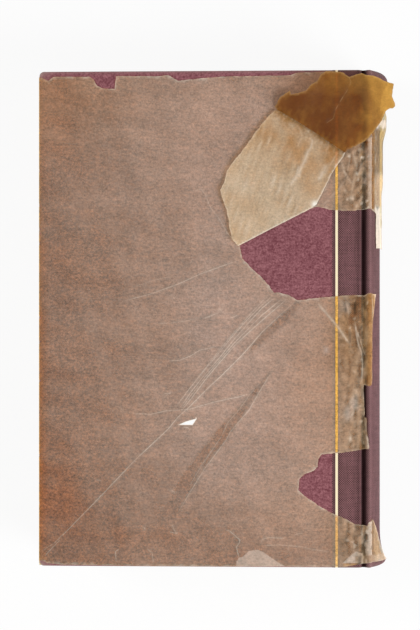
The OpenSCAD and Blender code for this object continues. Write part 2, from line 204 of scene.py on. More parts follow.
def finish_mesh(name, verts, faces, sharp=40, attributes=None, uv=None):
    """Mesh from points in mm, smooth apart from its sharp edges, with named point values."""
    mesh = bpy.data.meshes.new(name)
    mesh.from_pydata([tuple(v) for v in np.asarray(verts) * MM], [], [list(f) for f in faces])
    mesh.validate()
    for poly in mesh.polygons:
        poly.use_smooth = True
    mesh.set_sharp_from_angle(angle=math.radians(sharp))
    for key, values in (attributes or {}).items():
        layer = mesh.attributes.new(key, "FLOAT", "POINT")
        layer.data.foreach_set("value", np.asarray(values, dtype=np.float32))
    if uv is not None:
        layer = mesh.uv_layers.new(name="Weave")
        loops = np.empty(len(mesh.loops), dtype=np.int32)
        mesh.loops.foreach_get("vertex_index", loops)
        layer.data.foreach_set("uv", np.asarray(uv, dtype=np.float32)[loops].ravel())
    mesh.update()
    return add_object(name, mesh)


def waves(points, seed, scale):
    """Smooth noise of about -1 to 1 at points in mm, from a few waves about this long."""
    count = 7
    pick = random.Random(seed)
    total = np.zeros(len(points))
    for _ in range(count):
        angle = pick.uniform(0, math.tau)
        length = scale * pick.uniform(0.6, 1.7)
        phase = pick.uniform(0, math.tau)
        along = points[:, 0] * math.cos(angle) + points[:, 1] * math.sin(angle)
        total += np.sin(math.tau * along / length + phase)
    return total / math.sqrt(count * 2)


def line_distance(points, line, closed=False):
    """Distance of each point from a polyline."""
    line = np.asarray(line, float)
    ends = np.roll(line, -1, axis=0) if closed else line[1:]
    starts = line if closed else line[:-1]
    best = np.full(len(points), 1e9)
    for a, b in zip(starts, ends):
        run = b - a
        t = np.clip(((points - a) @ run) / max(run @ run, 1e-9), 0, 1)
        gap = points - a - t[:, None] * run
        best = np.minimum(best, np.einsum("ij,ij->i", gap, gap))
    return np.sqrt(best)


def inside(points, outline):
    """Which points lie inside a closed outline."""
    outline = np.asarray(outline, float)
    found = np.zeros(len(points), bool)
    x, y = points[:, 0], points[:, 1]
    for (ax, ay), (bx, by) in zip(outline, np.roll(outline, -1, axis=0)):
        if ay == by:
            continue
        crosses = (ay > y) != (by > y)
        found ^= crosses & (x < (bx - ax) * (y - ay) / (by - ay) + ax)
    return found


def resample(line, step, jitter=0.0):
    """Points about a step apart along a polyline, the inner ones moved sideways at random."""
    out = []
    for (ax, ay), (bx, by) in zip(line[:-1], line[1:]):
        length = math.hypot(bx - ax, by - ay)
        n = max(1, int(round(length / step)))
        nx, ny = (ay - by) / max(length, 1e-9), (bx - ax) / max(length, 1e-9)
        offsets = [0.0] * (n + 1)
        for i in range(1, n):
            offsets[i] = 0.6 * offsets[i - 1] + rng.uniform(-jitter, jitter)
        for i in range(n):
            t = i / n
            out.append((ax + (bx - ax) * t + nx * offsets[i], ay + (by - ay) * t + ny * offsets[i]))
    out.append(tuple(line[-1]))
    return out


def torn_outline(runs):
    """Closed outline from runs of (points, step, jitter), without points that nearly meet."""
    least = 0.12
    out = []
    for run in runs:
        for p in resample(*run):
            if not out or math.dist(p, out[-1]) > least:
                out.append(p)
    if math.dist(out[0], out[-1]) < least:
        out.pop()
    return out


def filled(outline, step, lines=(), columns=(), coarse=None):
    """Inner points: a jittered grid, rows along the given lines, and columns where the form bends.
    coarse is the place from which the grid is a coarser one, and its step."""
    row, shift = 0.87, 0.18
    rim = np.asarray(outline)
    lo, hi = rim.min(axis=0), rim.max(axis=0)
    pick = random.Random(5)

    def moved(value, s):
        return value + pick.uniform(-shift, shift) * s

    def grid(x0, x1, s):
        return np.array([
            (moved(x0 + (i + 0.5 * (j % 2)) * s, s), moved(lo[1] + j * s * row, s))
            for j in range(int((hi[1] - lo[1]) / (s * row)) + 1)
            for i in range(int((x1 - x0) / s) + 1)
        ])

    def clear(points, gap):
        points = points[inside(points, rim)]
        return points[line_distance(points, rim, True) > gap]

    points = clear(grid(lo[0], coarse[0] if coarse else hi[0], step), 0.55 * step)
    extra = []
    for line, half in lines:
        centre = np.array(resample(line, max(0.7, 1.6 * half)))
        run = np.gradient(centre, axis=0)
        run /= np.linalg.norm(run, axis=1)[:, None] + 1e-9
        side = np.stack([-run[:, 1], run[:, 0]], axis=1)
        extra += [centre, centre + side * half, centre - side * half]
        points = points[line_distance(points, line) > half + 0.4 * step]
    for where, apart in columns:
        ys = np.arange(lo[1] + 0.3, hi[1], apart)
        extra.append(np.stack([np.full(len(ys), where), ys], axis=1))
        points = points[np.abs(points[:, 0] - where) > 0.22 * step]
    if extra:
        extra = clear(np.concatenate(extra), 0.2)
        cells = np.round(extra / 0.18).astype(int)
        first = np.unique(cells, axis=0, return_index=True)[1]
        points = np.concatenate([points, extra[first]])
    if coarse:
        far = clear(grid(coarse[0] + coarse[1] * 0.6, hi[0], coarse[1]), 0.5 * step)
        for where, _ in columns:
            far = far[np.abs(far[:, 0] - where) > 0.5]
        points = np.concatenate([points, far])
    return points


def cut_sheet(name, outline, inner, place, thick, values):
    """Closed sheet of a small thickness: a flat cutting laid on a form by place(points, offset).
    values(points) gives its height over the form and the numbers that its material reads."""
    n = len(outline)
    flat = [Vector(p) for p in [*outline, *inner]]
    edges = [(i, (i + 1) % n) for i in range(n)]
    verts, _, faces, *_ = delaunay_2d_cdt(flat, edges, [], 1, 1e-5)
    points = np.array([tuple(v) for v in verts])
    tris = np.array([tuple(f) for f in faces if len(f) == 3])
    a, b, c = (points[tris[:, k]] for k in range(3))
    area = (b[:, 0] - a[:, 0]) * (c[:, 1] - a[:, 1]) - (b[:, 1] - a[:, 1]) * (c[:, 0] - a[:, 0])
    tris[area < 0] = tris[area < 0][:, ::-1]
    used, index = np.unique(tris, return_inverse=True)
    points, tris = points[used], index.reshape(-1, 3).tolist()
    m = len(points)
    marks = values(points)
    height = marks.pop("height")
    shell = np.concatenate([place(points, height), place(points, height + thick)])
    directed = {(t[i], t[(i + 1) % 3]) for t in tris for i in range(3)}
    rim = sorted((s, e) for s, e in directed if (e, s) not in directed)
    # p grows towards the fore edge, so a loop that runs anticlockwise in p and y faces down
    faces = [[i + m for i in t[::-1]] for t in tris] + tris
    faces += [(s + m, e + m, e, s) for s, e in rim]
    both = {key: np.tile(value, 2) for key, value in marks.items()}
    both["under"] = np.repeat([1.0, 0.0], m)
    for key in ("dense", "dim"):
        both.setdefault(key, np.zeros(2 * m))
    return finish_mesh(name, shell, outward(shell, faces), 50, both)


def shell_faces(n, m, last_rim=True):
    """Faces of a closed shell between two grids of m rows of n points, one listed after the other."""
    off, last = n * m, n * (m - 1)
    faces = []
    for a in (j * n + i for j in range(m - 1) for i in range(n - 1)):
        faces.append((a, a + 1, a + 1 + n, a + n))
        faces.append((a + n + off, a + 1 + n + off, a + 1 + off, a + off))
    rim = [(i + 1, i) for i in range(n - 1)]
    rim += [(last + i, last + i + 1) for i in range(n - 1) if last_rim]
    rim += [(a, a + n) for a in range(0, last, n)]
    rim += [(a + n, a) for a in range(n - 1, last, n)]
    return faces + [(a, b, b + off, a + off) for a, b in rim]


# Node materials
class Shader:
    """Nodes of one material or world."""

    def __init__(self, owner):
        self.owner = owner
        owner.use_nodes = True
        self.tree = owner.node_tree
        self.tree.nodes.clear()

    def put(self, kind, settings=None, **inputs):
        """New node. Settings are its properties; inputs are values or sockets, i0 the first."""
        made = self.tree.nodes.new("ShaderNode" + kind)
        for key, value in (settings or {}).items():
            setattr(made, key, value)
        for key, value in inputs.items():
            numbered = key[0] == "i" and key[1:].isdigit()
            socket = made.inputs[int(key[1:]) if numbered else key.replace("_", " ")]
            if isinstance(value, bpy.types.NodeSocket):
                self.tree.links.new(value, socket)
            else:
                socket.default_value = (*value, 1) if socket.type == "RGBA" else value
        return made

    def maths(self, operation, a, b=0.0, c=0.0, clamp=False):
        settings = {"operation": operation, "use_clamp": clamp}
        return self.put("Math", settings, i0=a, i1=b, i2=c).outputs[0]

    def linear(self, value, gain, offset, clamp=False):
        """value * gain + offset"""
        return self.maths("MULTIPLY_ADD", value, gain, offset, clamp)

    def times(self, a, b):
        return self.maths("MULTIPLY", a, b)

    def plus(self, a, b, clamp=False):
        return self.maths("ADD", a, b, clamp=clamp)

    def mixed(self, share, a, b):
        return self.put("Mix", {"data_type": "RGBA"}, i0=share, i6=a, i7=b).outputs[2]

    def shaders(self, share, a, b):
        return self.put("MixShader", i0=share, i1=a, i2=b).outputs[0]

    def scaled(self, colour, factor):
        return self.put("VectorMath", {"operation": "SCALE"}, i0=colour, Scale=factor).outputs[0]

    def ramp(self, value, *stops):
        """Grey levels of 0 to 1 between stops of (place, level)."""
        made = self.put("ValToRGB", Fac=value)
        for mark, (place, level) in zip(made.color_ramp.elements, stops):
            mark.position = place
            mark.color = (level, level, level, 1)
        return made.outputs["Color"]

    def noise(self, coords, scale, detail=3.0, rough=0.55, distortion=0.0):
        return self.put(
            "TexNoise", Vector=coords, Scale=scale, Detail=detail, Roughness=rough, Distortion=distortion
        ).outputs[0]

    def streaks(self, coords, scales, detail, rough=0.55, distortion=0.0, turn=0.0):
        """Noise that is scaled by its own factor along each axis."""
        settings = {"vector_type": "POINT"}
        turned = self.put("Mapping", settings, Vector=coords, Scale=scales, Rotation=(0, 0, turn))
        return self.noise(turned.outputs[0], 1.0, detail, rough, distortion)

    def value_of(self, name):
        return self.put("Attribute", {"attribute_name": name}).outputs["Fac"]

    def principled(self, colour, rough, relief, **rest):
        """Surface with a relief of (height, strength, distance in metres)."""
        height, strength, distance = relief
        normal = self.put("Bump", Height=height, Strength=strength, Distance=distance).outputs[0]
        return self.put(
            "BsdfPrincipled", Base_Color=colour, Roughness=rough, Normal=normal, **rest
        ).outputs[0]

    def surface(self, shader):
        """Sets the material's surface and returns the finished material."""
        self.put("OutputMaterial", Surface=shader)
        return self.owner

    def weave(self, coords, pitch):
        """Plain weave from two coordinates in metres: height of the warp and of the weft."""
        parts = self.put("SeparateXYZ", Vector=coords)
        sx, sy = (self.maths("SINE", self.times(parts.outputs[k], math.pi / pitch)) for k in (0, 1))
        over = self.times(sx, sy)
        warp = self.times(self.maths("ABSOLUTE", sx), self.linear(over, 0.5, 0.5))
        weft = self.times(self.maths("ABSOLUTE", sy), self.linear(over, -0.5, 0.5))
        return warp, weft


def new_material(name):
    s = Shader(bpy.data.materials.new(name))
    return s, s.put("TexCoord").outputs["Object"]


def book_cloth_material():
    """Maroon book cloth: woven threads with darker gaps, slubs, rubbed high places, and painted shade that
    darkens the joint's groove and the board's edge.
    """
    s, coords = new_material("book_cloth_woven")
    plane = s.put("UVMap", {"uv_map": "Weave"}).outputs[0]
    warp, weft = s.weave(plane, 0.0005)
    threads = s.maths("MAXIMUM", warp, weft)
    slub = s.streaks(coords, (1100, 120, 1100), 3)
    cross = s.streaks(coords, (120, 1300, 120), 3)
    patch = s.noise(coords, 70, 4)
    tone = s.plus(s.linear(slub, 0.5, -0.25), s.linear(cross, 0.5, -0.25))
    tone = s.linear(warp, 1.5, tone, clamp=True)
    colour = s.mixed(tone, (0.010, 0.003, 0.004), (0.40, 0.186, 0.196))
    colour = s.mixed(s.ramp(patch, (0.35, 0.0), (0.75, 0.3)), colour, (0.11, 0.050, 0.047))
    colour = s.mixed(s.value_of("wear"), colour, (0.28, 0.165, 0.16))
    # Painted shade darkens the cloth in the joint's groove and on the board's edge; the spine and the sides
    # of the rule get darker too
    colour = s.mixed(s.value_of("painted_shade_and_darkening"), colour, (0.022, 0.005, 0.006))
    return s.surface(s.principled(
        colour, 0.8, (s.linear(slub, 0.4, threads), 0.8, 0.00014),
        Specular_IOR_Level=0.12, Sheen_Weight=0.08, Sheen_Roughness=0.5,
    ))


def side_paper_material():
    """Matt maroon paper, mottled, with fine fibres and rubbed corners."""
    s, coords = new_material("maroon_paper")
    cloud = s.noise(coords, 45, 5, 0.6)
    grain = s.noise(coords, 1150, 4, 0.75)
    fleck = s.noise(coords, 520, 3, 0.6)
    fibre = s.streaks(coords, (300, 1100, 300), 4, 0.6, 0.6, 0.5)
    tone = s.linear(cloud, 0.2, s.times(grain, 1.25))
    tone = s.plus(tone, s.linear(fibre, 0.45, -0.45))
    tone = s.plus(tone, s.linear(fleck, 0.25, -0.125), clamp=True)
    tone = s.ramp(tone, (0.30, 0.0), (0.74, 1.0))
    colour = s.mixed(tone, (0.145, 0.036, 0.048), (0.385, 0.158, 0.175))
    colour = s.mixed(s.value_of("wear"), colour, (0.40, 0.27, 0.24))
    rough = s.linear(cloud, 0.2, 0.65)
    relief = (s.plus(grain, fibre), 0.3, 0.00008)
    return s.surface(s.principled(colour, rough, relief, Specular_IOR_Level=0.15))


def gilt_material():
    """Blocked gold foil, slightly broken by the weave under it."""
    s, coords = new_material("gilt")
    grain = s.noise(coords, 1300, 4, 0.6)
    drift = s.noise(coords, 60, 3)
    colour = s.mixed(drift, (0.95, 0.81, 0.54), (0.86, 0.74, 0.52))
    colour = s.mixed(s.ramp(grain, (0.62, 0.0), (0.75, 0.6)), colour, (0.30, 0.17, 0.11))
    rough = s.linear(grain, 0.3, 0.25)
    relief = (grain, 0.3, 0.00005)
    return s.surface(s.principled(colour, rough, relief, Metallic=0.55, Specular_IOR_Level=0.6))


def paper_material(name, dark, light, spots=0.0, scale=1.0):
    """Plain paper or board: cloudy toning, fibres, and foxing where spots is over 0."""
    s, coords = new_material(name)
    cloud = s.noise(coords, 25 * scale, 4)
    fibre = s.streaks(coords, (500, 1300, 700), 4, 0.6, 0.5, 0.3)
    tone = s.linear(cloud, 0.7, s.times(fibre, 0.3))
    colour = s.mixed(s.ramp(tone, (0.3, 0.0), (0.7, 1.0)), dark, light)
    colour = s.mixed(s.times(s.value_of("aged"), 0.55), colour, (0.50, 0.34, 0.18))
    if spots:
        speck = s.ramp(s.noise(coords, 220, 2), (0.68, 0.0), (0.76, spots))
        colour = s.mixed(speck, colour, (0.42, 0.25, 0.12))
    return s.surface(s.principled(colour, 0.8, (fibre, 0.3, 0.00005), Specular_IOR_Level=0.25))


def leaves_material():
    """Edges of the leaves: fine lines between them, grouped in sections, browner in clouds."""
    s, coords = new_material("leaf_edges")
    lines = s.streaks(coords, (12, 12, 9000), 2)
    group = s.streaks(coords, (8, 8, 700), 3)
    cloud = s.noise(coords, 30, 4)
    tone = s.linear(lines, 0.55, s.times(group, 0.45))
    level = s.ramp(tone, (0.32, 0.0), (0.68, 1.0))
    colour = s.mixed(level, (0.46, 0.35, 0.22), (0.78, 0.69, 0.52))
    colour = s.mixed(s.ramp(cloud, (0.4, 0.0), (0.8, 0.5)), colour, (0.55, 0.42, 0.26))
    return s.surface(s.principled(colour, 0.85, (tone, 0.6, 0.0001), Specular_IOR_Level=0.2))


def headband_material():
    """Striped cotton: red and cream threads across the band."""
    stripe_pitch, thread_pitch = 0.0026, 0.00035
    s, coords = new_material("headband_stripes")
    height = s.put("SeparateXYZ", Vector=coords).outputs[2]
    wave, thread = (
        s.maths("SINE", s.times(height, math.tau / pitch)) for pitch in (stripe_pitch, thread_pitch)
    )
    fuzz = s.noise(coords, 2500, 3)
    stripe = s.ramp(s.linear(fuzz, 0.3, wave), (0.0, 0.0), (0.25, 1.0))
    colour = s.mixed(stripe, (0.42, 0.055, 0.050), (0.76, 0.68, 0.52))
    return s.surface(s.principled(colour, 0.7, (s.plus(thread, fuzz), 0.5, 0.00008), Sheen_Weight=0.3))


def gauze_material():
    """Open cotton gauze."""
    s, coords = new_material("open_gauze")
    threads = s.maths("MAXIMUM", *s.weave(coords, 0.0011))
    level = s.ramp(threads, (0.35, 0.0), (0.6, 1.0))
    colour = s.mixed(level, (0.35, 0.27, 0.18), (0.78, 0.72, 0.60))
    return s.surface(s.principled(colour, 0.85, (threads, 0.8, 0.0002)))


def glassine_material(name, colours, tints, shares, rough=0.42, mottle=1.0, glow=0.0):
    """Browned glassine. It filters what lies under it, and a haze of fibres covers that. colours: the
    haze where the sheet is dark, light, browned, and creased or painted with a highlight. tints: its filter
    where clean and browned.
    shares: how much the haze covers where the sheet is dark and light. glow: light from behind."""
    dark, light, brown, pale = colours
    white = (1.0, 1.0, 1.0)
    s, coords = new_material(name)
    cloud = s.noise(coords, 38, 5, 0.6, 0.3)
    blotch = s.noise(coords, 160, 4, 0.6)
    fibre = s.streaks(coords, (240, 1400, 240), 4, 0.7, 0.6, 0.12)
    grain = s.noise(coords, 1050, 4, 0.75)
    fine = s.noise(coords, 1900, 3, 0.7)
    mark, under = s.value_of("mark"), s.value_of("under")

    tone = s.linear(s.value_of("tone"), 0.5, 0.5)
    for spread, sample in ((0.15, cloud), (0.08, blotch), (0.05, fibre), (0.04, grain)):
        if sample is blotch:
            level = s.plus(tone, 0.0, clamp=True)
        tone = s.plus(tone, s.linear(sample, spread * mottle, -0.5 * spread * mottle))
    tone = s.maths("MAXIMUM", s.maths("MINIMUM", tone, 1.2), -0.3)
    aged = s.plus(s.value_of("brown"), s.linear(cloud, 0.16, -0.08), clamp=True)

    specks = s.linear(fibre, 0.4, s.linear(fine, 0.5, grain))
    drift = s.linear(cloud, 0.16, s.linear(blotch, 0.16, -0.16))
    light_left = s.plus(s.linear(specks, 1.35 * mottle, 1 - 1.325 * mottle), drift)
    # Darker where the sheet holds painted shade, and on the head scrap towards its top
    light_left = s.times(light_left, s.maths("SUBTRACT", 1.0, s.value_of("dim")))
    haze = s.mixed(aged, s.mixed(level, dark, light), brown)
    haze = s.scaled(haze, light_left)
    # Pale where the sheet is torn or creased and where it holds painted highlights; white where the mark
    # goes over 1
    haze = s.mixed(s.plus(mark, 0.0, clamp=True), haze, pale)
    haze = s.mixed(s.maths("SUBTRACT", mark, 1.0, clamp=True), haze, white)

    share = s.linear(tone, shares[1] - shares[0], shares[0], clamp=True)
    share = s.plus(s.linear(mark, 0.5, share), s.value_of("dense"), clamp=True)
    share = s.times(share, s.maths("SUBTRACT", 1.0, under))
    body = s.principled(
        haze, s.linear(cloud, 0.25, rough - 0.1), (s.linear(fibre, 0.6, grain), 0.3, 0.0001),
        Specular_IOR_Level=0.3,
    )
    if glow:
        body = s.shaders(glow, body, s.put("BsdfTranslucent", Color=haze).outputs[0])
    tint = s.scaled(s.mixed(aged, *tints), light_left)
    through = s.put("BsdfTransparent", Color=s.mixed(under, tint, white)).outputs[0]
    return s.surface(s.shaders(share, through, body))


# Case cloth
def spine_rows(swell, cap_l, cap_d):
    """Rows of a spine end, from the start of the swell to the rolled cap: [y, offset]."""
    rows = [(HALF_H - cap_l - SWELL_L * (1 - k), swell * k**3) for k in np.linspace(0, 1, 10)]
    for a in np.linspace(0, math.pi / 2, 9)[1:]:
        rows.append((HALF_H - cap_l * (1 - math.sin(a)), swell - cap_d * (1 - math.cos(a))))
    return rows


# The bead over the joint's crest: x from the crest, and how far under the bead's top
BEAD = [
    (0.66, 1.0), (0.60, 0.65), (0.46, 0.33), (0.24, 0.1),
    (-0.05, 0), (-0.38, 0.04), (-0.68, 0.2), (-0.92, 0.48),
]


def case_section():
    """Outer face of the case from the middle of the spine over the joint to the edge of the cloth:
    arrays of x from the crest, height, and depth to the inside of the turned-in cloth."""
    # Closer together towards the joint
    heights = HINGE_U * np.sin(np.linspace(0, 1.0, 34) * 1.5) / math.sin(1.5)
    pts = [(float(spine_x(u)), float(u)) for u in heights if u < HINGE_U - 1.1]
    pts += [(x, HINGE_U + BEAD_R - drop) for x, drop in BEAD]
    low = [*np.linspace(1.15, GROOVE_W - GROOVE_FLAT, 7), GROOVE_W - 0.02]
    pts += [(-d, cloth_level(d)) for d in low]
    for t in np.radians(np.linspace(6, 90, 10)):
        out, down = 1 - math.cos(t), 1 - math.sin(t)
        pts.append((-GROOVE_W - GROOVE_DEPTH * out, SKIN_U - GROOVE_DEPTH * down))
    inner_edge, outer_edge = CREST_X - rule_hi[0], CREST_X - rule_lo[0]
    sunk = rule_lo[2] - MID_Z
    pts += [(-d, SKIN_U) for d in (7.5, 9.5, 11.5, 13, inner_edge - 0.08)]
    pts += [(-inner_edge, sunk), (-outer_edge, sunk), (-outer_edge - 0.08, SKIN_U)]
    pts += [(0.4 - CLOTH_W, SKIN_U), (-CLOTH_W, SKIN_U - 0.02)]
    depth = []
    for x, u in pts:
        if x > 0.05:
            card = min(1, max(0, HINGE_U - CARD_INSET + 1 - abs(u)))
            depth.append(2 * SKIN_T + 2 * CARD_FIT + CARD_T * card)
        elif -x < GROOVE_W:
            depth.append(2 * SKIN_T + 0.02)
        else:
            depth.append(min(u, SKIN_U) - LINING_U)
    return np.array(pts), depth


def cloth_rows():
    """Rows of the case's cloth from the turned-in tail end over the outer face to the turned-in head
    end: [y, swell, share of the way to the inside, layer]. Layer is -1 outside, 1 inside, 0 between."""
    head = spine_rows(HEAD_SWELL, HEAD_CAP_L, HEAD_CAP_D)
    tail = [(-y, s) for y, s in spine_rows(TAIL_SWELL, TAIL_CAP_L, TAIL_CAP_D)]
    middle = [(y, 0.0) for y in np.linspace(tail[0][0], head[0][0], 88)[1:-1]]
    rows = [(y, s, 1.0, 1.0) for y, s in tail if y < TURN_IN - HALF_H]
    rows += [(*tail[-1], k, 0.0) for k in (0.75, 0.25)]
    rows += [(y, s, 0.0, -1.0) for y, s in tail[::-1] + middle + head]
    rows += [(*head[-1], k, 0.0) for k in (0.25, 0.75)]
    return rows + [(y, s, 1.0, 1.0) for y, s in head[::-1] if y > HALF_H - TURN_IN]


def cloth_age(x, y):
    """Rubbing of the cloth, and its darkening, which is painted shade in the groove of the joint and on the
    board's edge, at x from the crest, before their chance part.
    """
    groove_mid, groove_half, board_x = -2.45, 0.65, -4.9
    rule_mid = CREST_X - (rule_lo[0] + rule_hi[0]) / 2
    rubbed = 0.28 * math.exp(-((x + 0.1) ** 2) / 0.5) + 0.35 * bell(HALF_H - abs(y), 2.2)
    # Painted shade in the groove of the joint and on the rounded edge of the board
    groove_shade = 0.95 * bell(max(0.0, abs(x - groove_mid) - groove_half), 0.62) if x < 0 else 0.0
    board_edge_shade = 0.5 * bell(x - board_x, 0.8)
    by_rule = 0.75 * bell(abs(x + rule_mid) - 1.0, 0.5)
    return rubbed, max(groove_shade, board_edge_shade, by_rule, 0.2 * float(smooth(0.3, 2.0, x)))


def case_cloth(name, side):
    """Book cloth over half of the spine, one joint and the inner edge of a board, turned in at both
    ends. side is 1 for the back cover and -1 for the front cover."""
    section, depth = case_section()
    xs, us = section[:, 0], section[:, 1]
    tangent = np.gradient(section, axis=0)
    tangent /= np.linalg.norm(tangent, axis=1)[:, None]
    normal = np.stack([tangent[:, 1], -tangent[:, 0]], axis=1)
    normal[(normal[:, 1] < 0) & (xs < 0)] *= -1
    normal[(xs < -GROOVE_W) & (np.abs(us - SKIN_U) < 0.2)] = (0, 1)
    share = unit(np.where(xs > 0, 1 - np.square(us / HINGE_U), 0))
    length = np.concatenate([[0], np.cumsum(np.linalg.norm(np.diff(section, axis=0), axis=1))])

    rows = cloth_rows()
    pick = random.Random(31 + side)
    outer_face, inner_face, uv, wear, painted_shade_and_darkening = [], [], [], [], []
    along = 0.0
    last_y, _, last_fold, _ = rows[0]
    for y, s, fold, layer in rows:
        along += abs(y - last_y) + 1.5 * abs(fold - last_fold)
        last_y, last_fold = y, fold
        near_end = min(1.0, max(0.0, (HALF_H - abs(y)) / SKIN_T))
        inset = SKIN_T * (1 - near_end if layer < 0 else 1 - layer)
        for i, (x, u) in enumerate(section):
            nx, nu = normal[i]
            d = depth[i] * fold
            base = np.array([x + s * share[i] - nx * d, y, u - nu * d])
            shift = (layer * SKIN_T * nx, -math.copysign(inset, y), layer * SKIN_T * nu)
            outer_face.append(base)
            inner_face.append(base + shift)
            uv.append((length[i] * MM, along * MM))
            rubbed, dark = cloth_age(x, y)
            wear.append(min(1.0, rubbed * pick.uniform(0.85, 1.1)))
            painted_shade_and_darkening.append(min(1.0, dark * pick.uniform(0.9, 1.05)))
    verts = [(CREST_X + x, y, MID_Z + side * u) for x, y, u in outer_face + inner_face]
    faces = shell_faces(len(section), len(rows))
    if side > 0:
        faces = [f[::-1] for f in faces]
    return finish_mesh(name, verts, faces, 42, {"wear": wear * 2, "painted_shade_and_darkening": painted_shade_and_darkening * 2}, uv * 2)


# Leaves
def block_back_x(v):
    """Back of the block, from the crest, for a leaf at this height."""
    lining_t, hollow, play = 0.4, 0.4, 0.05
    rise = SPINE_ROUND - 2 * SKIN_T - CARD_T - lining_t - hollow - play + SHOULDER_X
    r = arc_r(BLOCK_U + SHOULDER_H, rise)
    return math.sqrt(r * r - v * v) - r + rise - SHOULDER_X


def leaf_levels():
    """Heights of both faces of each bunch of leaves, and how far its edges stand back."""
    sections, per_section, gap = 16, 7, 0.02
    pick = random.Random(3)
    step = 2 * BLOCK_U / (sections * per_section)
    levels = []
    v = -BLOCK_U
    for _ in range(sections):
        cut = pick.uniform(0.0, 0.10)
        for q in range(per_section):
            dip = cut + pick.uniform(0.0, 0.07) + (0.12 if q == 0 else 0)
            levels += [(v + gap, dip), (v + step - gap, dip)]
            v += step
    return [(-BLOCK_U, levels[0][1]), *levels[1:-1], (BLOCK_U, levels[-1][1])]


def leaf_block():
    """Stack of leaves in sections, each section cut a hair differently, bent out to the shoulders."""
    r_fore = arc_r(BLOCK_U, FORE_HOLLOW)
    start = -SHOULDER_X - SHOULDER_W
    tail_face, head_face = [], []
    levels = leaf_levels()
    for v, dip in levels:
        fore = -PAGE_W + math.sqrt(r_fore**2 - v * v) - r_fore + FORE_HOLLOW
        lift = SHOULDER_H * v / BLOCK_U
        back = block_back_x(v + lift) - (0.1 if abs(v) < BLOCK_U - 0.1 else 0)
        path = [(fore + dip, v), (fore + 8, v), (-70, v), (-12, v)]
        for x in start + (back - start) * np.linspace(0, 1, 9):
            path.append((x, v + lift * min(1.0, (x - start) / SHOULDER_W) ** 2))
        for x, u in path:
            tail_face.append((CREST_X + x, dip - PAGE_HALF, MID_Z + u))
            head_face.append((CREST_X + x, PAGE_HALF - dip, MID_Z + u))
    return finish_mesh("leaves", tail_face + head_face, shell_faces(len(path), len(levels)), 30)


# Card, side papers, endpapers
def card_inlay():
    """Card in the spine of the case, bent to its round and swelled with it at head and tail."""
    ys = [CARD_INSET - HALF_H + k for k in np.linspace(0, 18, 10)]
    ys += list(np.linspace(ys[-1], -ys[-1], 40)[1:-1]) + [-y for y in ys[::-1]]
    heights = np.linspace(CARD_INSET - HINGE_U, HINGE_U - CARD_INSET, 33)
    verts = []
    for depth in (SKIN_T + CARD_FIT, SKIN_T + CARD_FIT + CARD_T):
        for y in ys:
            for u in heights:
                nx, nu = math.cos(math.asin(u / SPINE_R)), u / SPINE_R
                x = float(spine_x(u)) + float(swell_at(y)) * (1 - (u / HINGE_U) ** 2)
                verts.append((CREST_X + x - nx * depth, y, MID_Z + u - nu * depth))
    return finish_mesh("card_inlay", verts, outward(verts, shell_faces(len(heights), len(ys))), 35)


def paper_ring(d):
    """Outline of the side paper at a distance d inside the board's edges, from the cloth along the
    tail, round a blunted corner, up the fore edge and back along the head."""
    x0, x1 = paper_lo[0] + d, paper_hi[0]
    r = min(max(0.25, 2.0 - 0.6 * d), HALF_H - d - 0.1)
    half = [(x, d - HALF_H) for x in np.linspace(x1, x0 + 6, 26)]
    for t in np.radians(np.linspace(0, 90, 7)):
        half.append((x0 + r - r * math.sin(t), d - HALF_H + r - r * math.cos(t)))
    edge = [(x0, y) for y in np.linspace(d + r - HALF_H, HALF_H - d - r, 60)[1:-1]]
    return half + edge + [(x, -y) for x, y in half[::-1]]


def board_paper(name, side):
    """Maroon paper over a board: round edges, blunted corners, and turn-ins under the board."""
    r, middle = 0.42, (LINING_U + SKIN_U) / 2
    lowest, highest = LINING_U + SKIN_T, SKIN_U - SKIN_T - 0.02
    bends = np.radians(np.linspace(0, 90, 5))
    profile = [(d, LINING_U) for d in (TURN_IN, 9.0, 3.0, 1.2)]
    profile += [(r - r * math.sin(t), LINING_U + r - r * math.cos(t)) for t in bends]
    profile += [(0.0, middle)]
    profile += [(r - r * math.cos(t), SKIN_U - r + r * math.sin(t)) for t in bends]
    profile += [(d, SKIN_U) for d in (0.8, 1.4, 2.4, 5, 10, 18, 30, 45, 60, 75, 90, 102, HALF_H - 0.6)]
    pick = random.Random(61 + side)
    shell, lining, wear_at = [], [], []
    for d, nominal in profile:
        near = bell(d, 0.9)
        ring = paper_ring(d)
        for x, y in ring:
            corner = math.hypot(x - paper_lo[0], HALF_H - abs(y))
            rubbed = 0.4 * near + 0.7 * bell(corner, 3.2)
            wear_at.append(0.0 if nominal < middle else min(1.0, rubbed * pick.uniform(0.6, 1.2)))
            sag = 0.05 * near * pick.uniform(-1, 0.2) - 0.25 * bell(corner, 2.5)
            u = nominal + (0 if nominal < middle else sag)
            level = min(max(u, lowest), highest)
            if nominal > middle:
                level = min(level, u - 0.8 * SKIN_T)
            inner_x = min(max(x, paper_lo[0] + SKIN_T), paper_hi[0])
            inner_y = math.copysign(min(abs(y), HALF_H - SKIN_T), y)
            shell.append((x, y, MID_Z + side * u))
            lining.append((inner_x, inner_y, MID_Z + side * level))
    n, m = len(ring), len(profile)
    off, top = n * m, n * (m - 1)
    faces = shell_faces(n, m, last_rim=False)
    for a in range(top, top + n // 2 - 1):
        b = 2 * top + n - 1 - a
        faces.append((a, a + 1, b - 1, b))
        faces.append((b + off, b - 1 + off, a + 1 + off, a + off))
    faces.append((top, top + n - 1, top + n - 1 + off, top + off))
    verts = shell + lining
    return finish_mesh(name, verts, outward(verts, faces), 35, {"wear": wear_at * 2})


# Distances from the crest: start of an endpaper, end of the gauze, fore edge of an endpaper
JOINT_P = 1.3
GAUZE_P = CREST_X - box_mm("back_hinge_gauze")[0][0]
PAGE_P = CREST_X - block_lo[0]


def shoulder_level(p):
    """Height of the outermost leaf: flat, then bent out to the shoulder of the block."""
    reach = np.clip((SHOULDER_X + SHOULDER_W - p) / SHOULDER_W, 0, 1)
    return BLOCK_U + SHOULDER_H * reach**2


